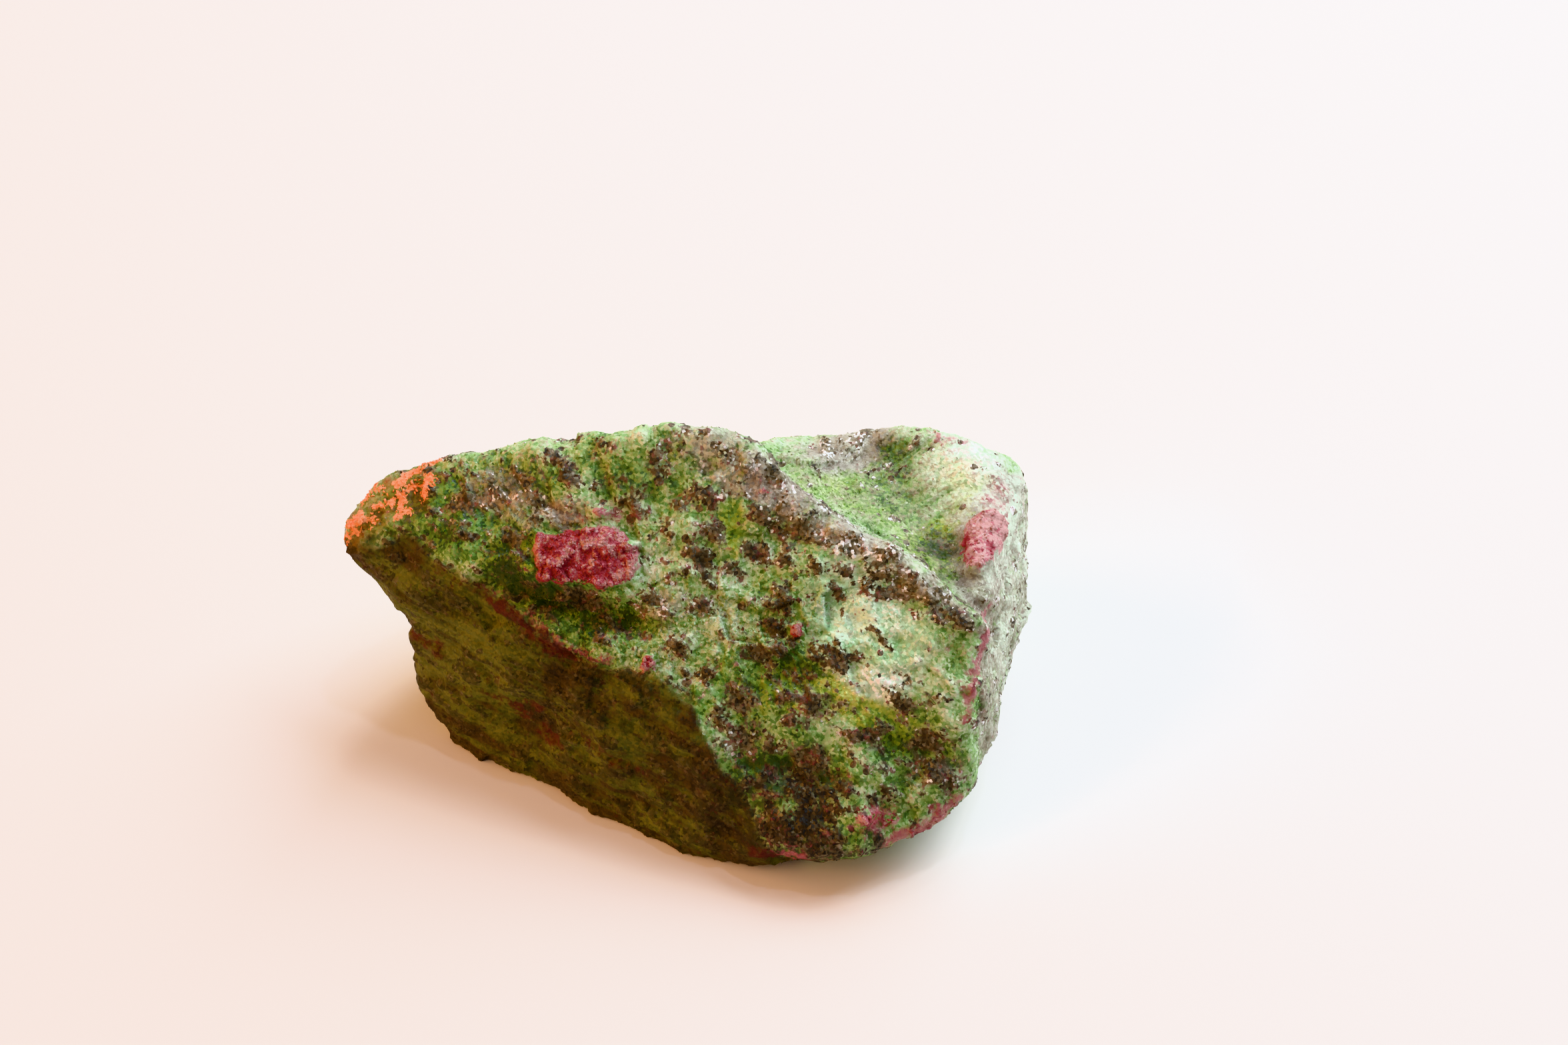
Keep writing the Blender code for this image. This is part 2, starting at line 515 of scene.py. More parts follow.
@dataclass(frozen=True)
class Vein:
    """A thin band that follows a path.

    Attributes:
        path: Its bends, in order.
        half_width: Half its width at its first and at its last bend.
    """

    path: tuple[Triple, ...]
    half_width: tuple[float, float]

    def depth(self, points: Floats) -> Floats:
        """The half width there less the distance to the path.

        Args:
            points: Places, one row each.

        Returns:
            Depth inside, negative outside.
        """
        widths = np.linspace(*self.half_width, len(self.path))
        bends = np.array(self.path)
        best = np.full(len(points), -np.inf)
        for start, end, wide in zip(bends[:-1], bends[1:], (widths[:-1] + widths[1:]) / 2.0):
            best = np.maximum(best, wide - segment_distance(points, start, end))
        return best


def deepest(bodies: tuple[Body, ...], points: Floats) -> Floats:
    """The depth in the body that holds each point best, which is negative outside them all."""
    return np.max([body.depth(points) for body in bodies], axis=0)


@dataclass(frozen=True)
class Zone:
    """A part of the rock where something is stronger or, below 0, weaker."""

    body: Body
    amount: float = 1.0


def summed(zones: tuple[Zone, ...], points: Floats, softness: float) -> Floats:
    """Add up each zone's amount, faded over softness to each side of its border.

    Args:
        zones: The zones.
        points: Places, one row each.
        softness: How far the fade reaches, in millimetres.

    Returns:
        One sum for each point.
    """
    parts = [z.amount * smooth_step(z.body.depth(points), -softness, softness) for z in zones]
    return np.sum(parts, axis=0)


# The lumpy ruby at the right end of the shoulder.
RIGHT_RUBY = Block(
    (29.8, 3.2, 22.2),
    (0.0, 1.0, 0.0),
    (0.35, -0.1, 0.93),
    (
        (1.0, 1.5), (2.9, 0.8), (4.1, 0.0), (4.5, -1.3), (3.7, -2.7), (2.2, -2.6),
        (0.0, -1.9), (-2.5, -0.8), (-3.8, 0.3), (-3.8, 1.1), (-2.5, 1.7), (0.1, 1.8),
    ),
    3.0,
)
# The large blocky ruby on the broad face.
BLOCK_RUBY = Block(
    (-10.1, -1.0, 25.2),
    (1.0, 0.0, 0.0),
    A_OUT,
    (
        (-5.3, 2.7), (-3.0, 2.2), (-0.8, 2.8), (2.3, 3.1), (3.9, 2.5), (5.4, 0.4), (5.0, -1.4),
        (4.6, -2.6), (3.0, -2.8), (1.1, -3.2), (-0.4, -2.6), (-3.0, -2.6), (-4.9, -2.2), (-5.1, 0.6),
    ),
    2.2,
)
# Every ruby: the two large ones, small ones on the ridge, the broad face and the nose, and three behind.
RUBIES: tuple[Body, ...] = (
    BLOCK_RUBY,
    RIGHT_RUBY,
    Lens((-8.6, 2.6, 28.0), (1.1, 0.35, 1.0), (1.0, 0.1, 0.0)),
    Vein(((7.2, 4.4, 29.9), (7.9, 4.0, 29.6), (8.8, 3.6, 29.4)), (0.45, 0.3)),
    Vein(((13.4, 3.2, 29.4), (14.6, 2.3, 28.7)), (0.4, 0.2)),
    Lens((11.1, -7.0, 20.9), (0.8, 0.7, 1.0)),
    Lens((-3.8, -9.2, 18.6), (0.7, 0.8, 1.0)),
    Lens((18.3, -21.1, 8.4), (1.3, 0.6, 1.5), NOSE_RUN, NOSE_OUT),
    Lens((20.6, -21.0, 8.0), (0.9, 0.5, 1.5), NOSE_RUN, NOSE_OUT),
    Lens((26.0, 16.6, 25.0), (1.0, 0.5, 1.2), (0.95, -0.3, -0.1), (0.1, 0.3, 0.95)),
    Block(
        (8.0, 22.5, 14.0),
        (0.95, 0.05, -0.3),
        (0.1, 0.97, 0.2),
        ((-4.6, 1.2), (-1.2, 2.6), (3.4, 2.0), (4.8, -0.6), (1.6, -2.4), (-3.4, -1.8)),
        3.0,
    ),
    Lens((-19.0, 15.8, 15.5), (3.0, 1.4, 2.0), (0.8, 0.2, 0.5), (-0.3, 0.9, 0.3)),
    Lens((27.0, 19.8, 10.0), (1.8, 1.2, 1.5), (0.8, -0.5, 0.3), (0.5, 0.85, 0.1)),
)

# Soft red smears and pink hazes, where ruby lies thin or crushed.
REDDENED: tuple[Zone, ...] = (
    Zone(Vein(((-25.7, 0.4, 22.4), (-21.4, -1.6, 21.4), (-18.8, -3.2, 20.3)), (0.5, 0.8)), 0.5),
    Zone(
        Vein(
            ((-18.8, -3.2, 20.3), (-16.6, -4.6, 19.9), (-14.9, -5.7, 19.2), (-12.7, -7.1, 17.7)),
            (0.7, 1.0),
        ),
        0.72,
    ),
    Zone(Vein(((-11.6, -7.4, 18.0), (-8.6, -8.4, 18.0)), (0.6, 0.6)), 0.8),
    Zone(Vein(((-29.0, -0.2, 13.2), (-27.0, -1.8, 13.0), (-25.2, -2.6, 13.4)), (0.7, 0.8)), 0.6),
    Zone(Vein(((-20.4, -6.0, 9.6), (-18.2, -7.0, 9.2), (-16.6, -7.5, 8.4)), (0.7, 0.9)), 0.65),
    Zone(Vein(((-16.3, -7.4, 10.7), (-15.2, -7.8, 10.2)), (0.7, 0.8)), 0.7),
    Zone(Lens((-14.0, -9.3, 7.0), (1.6, 0.9, 1.4), GRAIN_RUN, B_OUT), 0.7),
    Zone(Lens((-8.0, -13.0, 9.0), (4.0, 1.0, 2.0), GRAIN_RUN, B_OUT), 0.35),
    Zone(Lens((18.8, -21.0, 8.2), (2.6, 1.0, 1.5), NOSE_RUN, NOSE_OUT), 0.6),
    Zone(Vein(((20.5, -22.0, 6.0), (23.8, -20.9, 6.4), (27.0, -19.0, 7.9)), (0.8, 1.1)), 0.9),
    Zone(Vein(((6.6, -21.6, 4.2), (9.0, -22.6, 4.2), (11.4, -23.2, 4.6)), (0.7, 0.8)), 0.8),
    Zone(
        Vein(((30.6, -3.4, 19.6), (29.8, -7.6, 19.2), (28.5, -11.6, 17.2), (28.0, -13.4, 15.6)), (0.8, 0.7)),
        0.8,
    ),
    Zone(Lens((31.6, 9.4, 22.3), (3.2, 1.6, 1.5), (0.25, 0.95, 0.0), (0.5, -0.2, 0.85)), 0.45),
    Zone(Vein(((23.2, 17.4, 25.4), (25.2, 16.9, 25.2), (27.2, 16.4, 24.6)), (0.8, 0.8)), 0.6),
    Zone(Lens((-7.6, 2.4, 28.0), (3.6, 1.0, 1.5), (1.0, 0.1, 0.0)), 0.35),
)

# The strokes of crust on the left tip, their coral painted as warm lamp light, and the stained rock between
# them.
CRUSTS: tuple[Body, ...] = (
    Vein(((-26.1, 7.9, 27.1), (-26.5, 7.4, 26.7), (-26.9, 6.4, 25.9)), (0.65, 0.4)),
    Vein(
        ((-26.4, 7.7, 26.9), (-27.9, 7.5, 26.3), (-29.0, 7.1, 25.7), (-30.3, 6.5, 25.1), (-31.7, 6.5, 24.5)),
        (0.5, 0.3),
    ),
    Vein(((-28.8, 7.0, 25.8), (-29.1, 5.8, 25.1), (-29.5, 4.9, 24.7)), (0.45, 0.4)),
    Vein(((-29.3, 5.4, 24.9), (-28.4, 5.4, 25.1)), (0.3, 0.4)),
    Vein(((-27.2, 9.3, 27.2), (-28.1, 9.1, 26.8), (-29.0, 8.5, 26.5), (-29.6, 7.8, 25.9)), (0.3, 0.4)),
    Vein(((-31.7, 8.4, 25.3), (-32.4, 8.1, 24.7), (-32.9, 7.5, 24.1)), (0.5, 0.3)),
    Vein(((-31.7, 8.2, 25.2), (-30.9, 7.7, 25.4)), (0.3, 0.25)),
    Vein(((-31.7, 6.3, 24.4), (-31.8, 5.7, 24.1), (-32.2, 4.7, 23.3)), (0.25, 0.3)),
    Vein(((-33.3, 5.9, 23.3), (-35.3, 4.4, 21.8)), (0.5, 0.8)),
    Vein(((-25.7, 10.0, 27.7), (-26.8, 9.7, 27.4)), (0.2, 0.2)),
)
CRUST_GROUND: tuple[Zone, ...] = (
    Zone(Lens((-30.4, 7.2, 25.2), (5.6, 3.0, 4.0), (0.85, 0.2, 0.5), (-0.5, -0.1, 0.86))),
    Zone(Lens((-34.4, 5.2, 22.4), (2.0, 1.6, 2.0), (0.7, 0.2, 0.7), (-0.8, -0.1, 0.5))),
)

# Where the zoisite is paler or, below 0, deeper.
LIGHTER: tuple[Zone, ...] = (
    Zone(Lens((15.5, -3.5, 24.3), (3.8, 4.5, 4.0), GRAIN_RUN), 1.4),
    Zone(Lens((19.0, -8.6, 19.8), (5.4, 5.6, 4.0), GRAIN_RUN), 2.1),
    Zone(Lens((13.5, -8.0, 20.3), (3.0, 2.4, 3.0)), 0.5),
    Zone(Lens((15.0, -12.6, 16.2), (2.2, 2.6, 3.0)), 0.5),
    Zone(Lens((17.5, -17.2, 12.2), (3.0, 1.5, 3.0)), 0.3),
    Zone(Lens((22.0, 9.0, 23.0), (16.0, 11.0, 7.0), SHOULDER_RUN, UP), 0.5),
    Zone(Lens((30.0, 10.5, 23.0), (5.0, 7.0, 5.0), (1.0, 0.0, 0.0), UP), 0.75),
    Zone(Lens((33.5, 2.0, 13.0), (12.0, 9.0, 9.0), END_RUN, END_OUT), 1.0),
    Zone(Lens((-25.0, -1.0, 14.0), (9.0, 12.0, 12.0), (0.0, 0.0, 1.0), B_OUT), 1.0),
    Zone(Lens((-4.0, -13.5, 9.0), (11.0, 8.0, 10.0), (0.9, -0.4, -0.1), B_OUT), 0.45),
    Zone(Lens((27.0, 14.5, 25.0), (4.0, 3.0, 3.0), (1.0, 0.0, 0.0), UP), 0.4),
    Zone(Lens((26.0, 3.8, 21.8), (3.0, 3.0, 3.0), GRAIN_RUN, UP), -0.9),
    Zone(Lens((21.7, 15.4, 23.2), (2.2, 3.0, 3.0), (0.5, 0.85, 0.0), UP), -0.7),
    Zone(Lens((18.3, 10.0, 22.2), (3.0, 2.0, 3.0), GRAIN_RUN, UP), -0.35),
    Zone(Lens((-1.5, -8.4, 19.2), (4.0, 1.6, 3.0)), 0.8),
    Zone(Lens((-3.2, -2.0, 25.0), (1.0, 2.2, 2.0)), 0.7),
    Zone(Lens((-8.0, 3.4, 28.4), (4.5, 1.0, 2.5)), 0.6),
    Zone(Lens((-23.0, 3.8, 26.0), (9.0, 5.0, 5.0), TIP_RUN, TIP_OUT), -0.45),
    Zone(Lens((3.0, -11.5, 16.6), (1.4, 2.6, 3.0)), 0.6),
    Zone(Lens((1.0, 1.0, 27.6), (5.0, 4.0, 3.0), GRAIN_RUN), -0.1),
    Zone(Lens((2.0, -3.0, 24.5), (11.0, 7.0, 5.0), GRAIN_RUN), 0.45),
    Zone(Lens((7.4, -4.5, 22.8), (2.4, 2.2, 3.0)), -0.45),
    Zone(Lens((-5.4, 6.6, 31.6), (5.0, 2.2, 3.0)), -0.4),
    Zone(Lens((-14.5, 6.0, 29.2), (4.0, 2.4, 3.0)), -0.3),
    # The recess under the block ruby: its deeper green here is painted shade.
    Zone(Lens((-11.0, -4.9, 21.8), (6.4, 2.2, 3.0), LIP_RUN), -1.6),
    Zone(Lens((-17.6, -2.4, 23.6), (3.0, 1.6, 3.0), LIP_RUN), -0.9),
    Zone(Lens((-17.6, -0.6, 25.0), (2.0, 3.0, 2.5)), -0.7),
    Zone(Lens((10.5, -9.4, 19.0), (4.6, 2.6, 3.0), (1.0, -0.2, 0.0)), -0.6),
    Zone(Lens((-28.2, 5.6, 25.2), (1.2, 1.2, 2.0), (1.0, 0.0, 0.0), (-0.3, -0.4, 0.87)), -0.8),
    Zone(Lens((9.0, -17.5, 11.0), (7.0, 3.2, 4.0), (1.0, -0.1, 0.0)), -1.2),
    Zone(Lens((9.0, -21.6, 6.0), (8.0, 3.0, 5.0), (1.0, -0.1, 0.0)), -0.7),
    Zone(Lens((23.5, -16.6, 11.6), (5.0, 2.4, 4.0), (1.0, 0.1, 0.0)), -0.9),
    Zone(Lens((10.0, -11.0, 17.8), (5.0, 2.2, 3.0)), -0.6),
    Zone(Lens((14.5, -22.2, 5.4), (6.5, 2.4, 4.0), (1.0, 0.1, 0.0)), -0.9),
    Zone(Lens((-12.0, 17.0, 10.0), (12.0, 4.0, 8.0), (1.0, 0.0, 0.3), (0.0, 1.0, 0.2)), -1.0),
    Zone(Lens((8.0, 20.0, 19.0), (10.0, 3.0, 6.0), (1.0, 0.0, -0.2), (0.0, 1.0, 0.3)), -0.7),
)

# Where its green turns to olive or, below 0, to turquoise.
WARMER: tuple[Zone, ...] = (
    Zone(Lens((-17.6, -0.6, 25.0), (2.2, 3.2, 2.5)), 1.5),
    Zone(Lens((12.5, -11.8, 17.2), (5.5, 2.6, 3.0), (1.0, -0.2, 0.0)), 1.1),
    Zone(Lens((20.5, -14.2, 14.8), (4.0, 2.4, 3.0), (1.0, -0.2, 0.0))),
    Zone(Lens((26.2, 3.2, 22.0), (3.4, 3.4, 3.0), GRAIN_RUN, UP), 1.2),
    Zone(Lens((22.0, 8.0, 22.5), (14.0, 9.0, 6.0), SHOULDER_RUN, UP), 0.45),
    Zone(Lens((4.6, 0.6, 27.4), (1.6, 2.6, 2.5))),
    Zone(Lens((-11.0, -5.2, 21.4), (6.0, 1.6, 3.0), LIP_RUN), 0.7),
    Zone(Lens((2.5, -12.6, 15.8), (1.6, 3.4, 3.0), (1.0, -0.3, 0.0)), -1.0),
    Zone(Lens((-22.0, 3.8, 26.4), (9.0, 5.0, 5.0), TIP_RUN, TIP_OUT), -0.8),
    Zone(Lens((-1.5, 1.0, 27.4), (3.0, 3.0, 3.0)), -0.5),
    Zone(Lens((21.7, 15.4, 23.2), (2.2, 3.0, 3.0), (0.5, 0.85, 0.0), UP), -0.9),
    Zone(Lens((6.0, -5.0, 22.4), (3.0, 2.0, 3.0)), -0.4),
    Zone(Lens((17.5, -6.0, 22.0), (9.0, 5.5, 4.0), GRAIN_RUN), -0.75),
    Zone(Lens((4.0, 21.0, 16.0), (9.0, 3.0, 6.0), (1.0, 0.0, -0.2), (0.0, 1.0, 0.3)), 0.9),
)

# Where brown dust lies on it or, below 0, where the hornblende is fresh.
DUSTIER: tuple[Zone, ...] = (
    Zone(Lens((4.5, 6.2, 31.4), (7.0, 3.4, 5.0), (0.86, -0.3, -0.4)), 0.85),
    Zone(Lens((12.5, 2.4, 28.6), (6.5, 3.0, 4.0), (0.86, -0.42, -0.3)), 0.85),
    Zone(Lens((22.0, 9.0, 23.0), (16.0, 11.0, 7.0), SHOULDER_RUN, UP), 0.5),
    Zone(Lens((20.5, -2.4, 25.3), (5.5, 2.2, 4.0), (0.86, -0.4, -0.3)), 0.8),
    Zone(Lens((26.5, -5.4, 22.6), (4.0, 1.6, 4.0), (0.86, -0.3, -0.3)), 0.8),
    Zone(Lens((-19.5, 6.0, 28.0), (4.0, 2.8, 4.0), (0.95, 0.0, 0.2), (-0.3, -0.4, 0.86)), 0.7),
    Zone(Lens((-14.0, 3.0, 27.8), (3.0, 1.6, 3.0)), 0.7),
    Zone(Lens((-2.4, -5.2, 22.0), (2.6, 2.0, 3.0)), 0.8),
    Zone(Lens((16.2, 15.8, 23.4), (4.4, 2.2, 3.0), (1.0, 0.6, 0.0), UP), 1.0),
    Zone(Lens((25.0, -17.4, 10.8), (3.2, 1.8, 3.0), (0.9, 0.3, 0.0)), 0.8),
    Zone(Lens((4.8, -15.4, 13.0), (2.6, 1.5, 3.0)), 0.6),
    Zone(Lens((33.5, 2.0, 12.0), (17.0, 12.0, 9.0), END_RUN, END_OUT), 0.9),
    Zone(Lens((10.0, -19.6, 8.0), (8.5, 4.2, 5.0), (1.0, -0.1, 0.0)), -1.0),
    Zone(Lens((-10.6, 1.9, 27.8), (5.0, 1.4, 3.0)), 0.6),
    Zone(Lens((16.5, -6.5, 21.5), (7.5, 5.0, 4.0), GRAIN_RUN), -0.7),
    Zone(Lens((13.0, 22.0, 9.0), (11.0, 4.0, 6.0), (1.0, 0.0, -0.2), (0.0, 1.0, 0.1)), 0.7),
    Zone(Lens((-14.0, 15.0, 20.0), (9.0, 3.0, 6.0), (1.0, 0.0, 0.4), (0.0, 0.9, 0.4)), 0.7),
    Zone(Lens((-21.5, 3.6, 26.4), (8.0, 3.6, 5.0), TIP_RUN, TIP_OUT), 0.2),
)

# Where there is more or less hornblende than elsewhere.
CLOTTED: tuple[Zone, ...] = (
    Zone(Lens((3.5, 5.5, 31.0), (7.0, 3.4, 5.0), (0.86, -0.3, -0.4)), 0.45),
    Zone(Lens((13.5, 1.2, 27.6), (8.0, 3.6, 4.0), (0.86, -0.42, -0.3)), 0.42),
    Zone(Lens((24.0, -4.4, 23.8), (6.0, 2.4, 4.0), (0.86, -0.3, -0.3)), 0.28),
    Zone(Lens((-20.5, 6.0, 28.0), (5.0, 3.2, 4.0), (0.95, 0.0, 0.2), (-0.3, -0.4, 0.86)), 0.2),
    Zone(Lens((8.0, -19.8, 8.4), (8.0, 4.4, 5.0)), 0.72),
    Zone(Lens((15.0, -18.5, 10.6), (5.0, 3.0, 4.0)), 0.25),
    Zone(Lens((14.5, -22.2, 5.4), (6.5, 2.4, 4.0), (1.0, 0.1, 0.0)), 0.75),
    Zone(Lens((-5.0, 18.0, 17.0), (12.0, 5.0, 8.0), (1.0, 0.0, 0.3), (0.0, 0.9, 0.4)), 0.38),
    Zone(Lens((17.0, 22.0, 8.0), (9.0, 3.0, 6.0), (1.0, 0.0, -0.2), (0.0, 1.0, 0.1)), 0.4),
    Zone(Lens((24.0, -16.5, 11.6), (5.0, 3.0, 4.0)), 0.35),
    Zone(Lens((-1.0, -5.0, 22.2), (3.4, 3.0, 3.0)), 0.2),
    # More hornblende in the recess under the block ruby darkens it as painted shade.
    Zone(Lens((-12.0, -4.8, 22.0), (6.0, 2.0, 3.0)), 0.35),
    Zone(Lens((16.2, 15.8, 23.4), (3.8, 2.0, 3.0), (1.0, 0.6, 0.0), UP), 0.8),
    Zone(Lens((12.0, -12.5, 16.5), (12.0, 5.5, 4.0)), 0.16),
    Zone(Lens((22.0, 9.0, 23.0), (16.0, 11.0, 6.0), SHOULDER_RUN, UP), -0.3),
    Zone(Lens((33.5, 2.0, 13.0), (12.0, 9.0, 9.0), END_RUN, END_OUT), -0.06),
)

# The largest dark clots: middle and radius.
CLOTS: tuple[tuple[float, float, float, float], ...] = (
    (-5.4, 2.8, 28.3, 1.5), (-0.7, 2.5, 28.9, 0.8), (-2.0, 1.5, 27.9, 0.8), (-1.5, 0.2, 27.0, 0.9),
    (2.6, 0.5, 27.2, 1.4), (1.4, -1.3, 25.4, 1.6), (1.9, -2.6, 24.4, 1.0), (6.9, -0.5, 25.8, 1.5),
    (4.6, -2.2, 24.7, 1.2), (9.4, 1.2, 27.2, 1.3), (12.6, 0.4, 27.0, 1.3), (9.8, -1.4, 25.3, 1.1),
    (13.0, -2.3, 24.9, 0.9), (15.9, -2.6, 25.0, 0.9), (16.1, -0.6, 26.5, 1.2), (19.7, -3.2, 24.8, 1.4),
    (21.1, -4.3, 23.7, 1.4), (14.8, -3.9, 23.6, 0.8), (9.8, -4.8, 22.7, 1.6), (1.7, -5.0, 22.3, 1.0),
    (-3.6, -4.4, 22.6, 1.2), (9.0, -6.6, 21.2, 1.1), (7.2, -9.0, 19.3, 1.3), (9.3, -8.7, 19.8, 1.0),
    (13.8, -8.8, 19.7, 1.1), (15.2, -9.5, 19.1, 1.4), (16.8, -9.3, 19.2, 0.9), (12.7, -12.6, 16.2, 1.5),
    (21.3, -12.6, 16.5, 1.3), (18.6, -15.1, 13.8, 0.8), (17.0, -15.0, 14.0, 0.8), (24.0, -15.3, 13.0, 1.4),
    (5.2, -12.4, 15.9, 1.4), (5.0, -14.6, 13.6, 1.8), (12.0, -16.5, 11.9, 1.8), (11.8, -18.7, 10.1, 1.6),
    (25.3, -17.4, 11.0, 1.9), (-0.7, -7.8, 19.7, 1.1), (2.1, -9.9, 18.2, 1.0), (-15.6, 4.2, 27.9, 1.3),
    (-17.6, 0.8, 26.0, 1.0), (-22.0, 1.8, 25.2, 0.9), (-11.9, 5.4, 29.8, 0.9), (-9.3, 4.6, 29.8, 0.8),
    (-10.5, -4.4, 22.6, 1.5), (21.1, 13.5, 22.9, 1.0), (18.7, 13.4, 22.3, 0.7), (17.4, 16.7, 24.1, 1.3),
    (28.7, -13.5, 14.2, 1.2), (24.6, -5.2, 23.0, 1.3), (27.6, -6.4, 22.0, 1.3), (23.8, 0.6, 22.6, 0.9),
)

# The height of the long edge between the sloping face and the foliated one, from left to right.
CREASE: tuple[tuple[float, float], ...] = (
    (-35.8, 21.6), (-28.1, 24.3), (-25.1, 23.4), (-20.3, 21.9), (-16.8, 20.6), (-13.0, 18.6), (-8.1, 17.6),
    (-3.3, 17.9), (0.5, 16.7), (1.6, 14.4), (3.4, 12.0), (6.2, 9.0), (7.8, 5.6), (10.5, 3.0), (14.0, -3.0),
)

# Dents: each zone's amount is its depth.
DENTS: tuple[Zone, ...] = (
    Zone(Lens((-10.6, -5.0, 21.8), (6.6, 1.9, 2.5), LIP_RUN), 1.4),
    Zone(Lens((-18.4, -2.6, 23.2), (2.6, 1.2, 2.5), LIP_RUN), 0.6),
    Zone(Lens((-4.2, -3.4, 23.8), (1.6, 1.4, 2.5)), 0.35),
    Zone(Lens((-17.4, -0.2, 25.4), (1.5, 2.2, 2.5)), 0.4),
    Zone(Lens((7.0, -9.5, 19.0), (6.0, 1.3, 2.5), GRAIN_RUN), 0.3),
    Zone(Lens((3.0, -2.0, 25.0), (5.0, 1.2, 2.5), GRAIN_RUN), 0.35),
    Zone(Lens((16.5, -6.6, 21.8), (5.5, 1.2, 2.5), GRAIN_RUN), 0.3),
    Zone(Lens((11.5, -17.0, 11.6), (4.0, 1.4, 2.5), (1.0, 0.1, 0.0)), 0.4),
    Zone(Lens((22.0, -15.5, 13.0), (3.0, 1.2, 2.5), (1.0, 0.1, 0.0)), 0.4),
    Zone(Lens((26.2, 3.4, 22.0), (2.2, 2.2, 2.5), GRAIN_RUN, UP), 0.4),
)


@dataclass(frozen=True)
class Relief:
    """The sizes and heights of what the breaks and the grains do to the skin.

    An edge is the depth in a mineral's body at which it starts to rise, and that at which it is fully up.
    """

    swell_size: float = 6.5
    swell_height: float = 0.42
    break_size: float = 4.4
    break_slope: float = 0.10
    chip_size: float = 1.8
    chip_slope: float = 0.13
    grain_size: float = 0.8
    grain_height: float = 0.10
    clot_height: float = 0.22
    clot_edge: tuple[float, float] = (-0.3, 0.5)
    ruby_rise: float = 0.7
    ruby_edge: tuple[float, float] = (-0.25, 0.35)
    globule_size: float = 1.25
    globule_share: float = 0.75
    globule_height: float = 0.45
    globule_edge: tuple[float, float] = (-0.3, 0.3)
    crust_height: float = 0.16
    crust_edge: tuple[float, float] = (-0.15, 0.25)
    foliated_calm: float = 0.6
    streak_length: float = 8.0
    streak_width: float = 0.9
    streak_height: float = 0.14


@dataclass(frozen=True)
class Borders:
    """How raggedly the minerals meet.

    Clouds of wander_size and of fray_size push the borders aside, by wander and by each mineral's fray.
    The amounts drift over drift_size, and a zone fades over its softness to each side. The foliated face
    starts where the skin is crease_fade below the crease and turned to the front by front_fade.
    """

    wander_size: float = 2.2
    wander: float = 0.8
    fray_size: float = 0.9
    ruby_fray: float = 0.22
    stain_fray: float = 0.6
    crust_fray: float = 0.15
    crease_wander: float = 0.5
    crease_fade: tuple[float, float] = (-0.5, 0.8)
    front_fade: tuple[float, float] = (-0.2, 0.2)
    drift_size: float = 6.0
    clot_drift: float = 0.25
    warmth_drift: float = 0.35
    zone_softness: float = 2.0
    warmth_softness: float = 1.6
    dust_softness: float = 1.5
    stain_softness: float = 0.7
    crust_softness: float = 0.8
    dent_softness: float = 0.9


@dataclass(frozen=True)
class ClotShapes:
    """The clouds and the lenses that hornblende gathers in.

    The veil is a cloud that shows where its height tops its drop. A lens is a ball as wide as lens_share
    of its clot's radius. A drawing is the share taken off lengths along the foliation, which draws a
    pattern out by 1 / (1 - drawing). Finer clouds fray the lenses.
    """

    veil_size: float = 1.5
    veil_gain: float = 0.65
    veil_height: float = 1.15
    veil_drop: float = 0.60
    foliated_rise: float = 0.40
    drawing: float = 0.35
    foliated_drawing: float = 0.3
    lens_drawing: float = 0.3
    lens_share: float = 0.85
    lens_height: float = 0.9
    lens_drop: float = 0.1
    fray_size: float = 1.3
    fray_gain: float = 0.6
    fray_height: float = 0.6


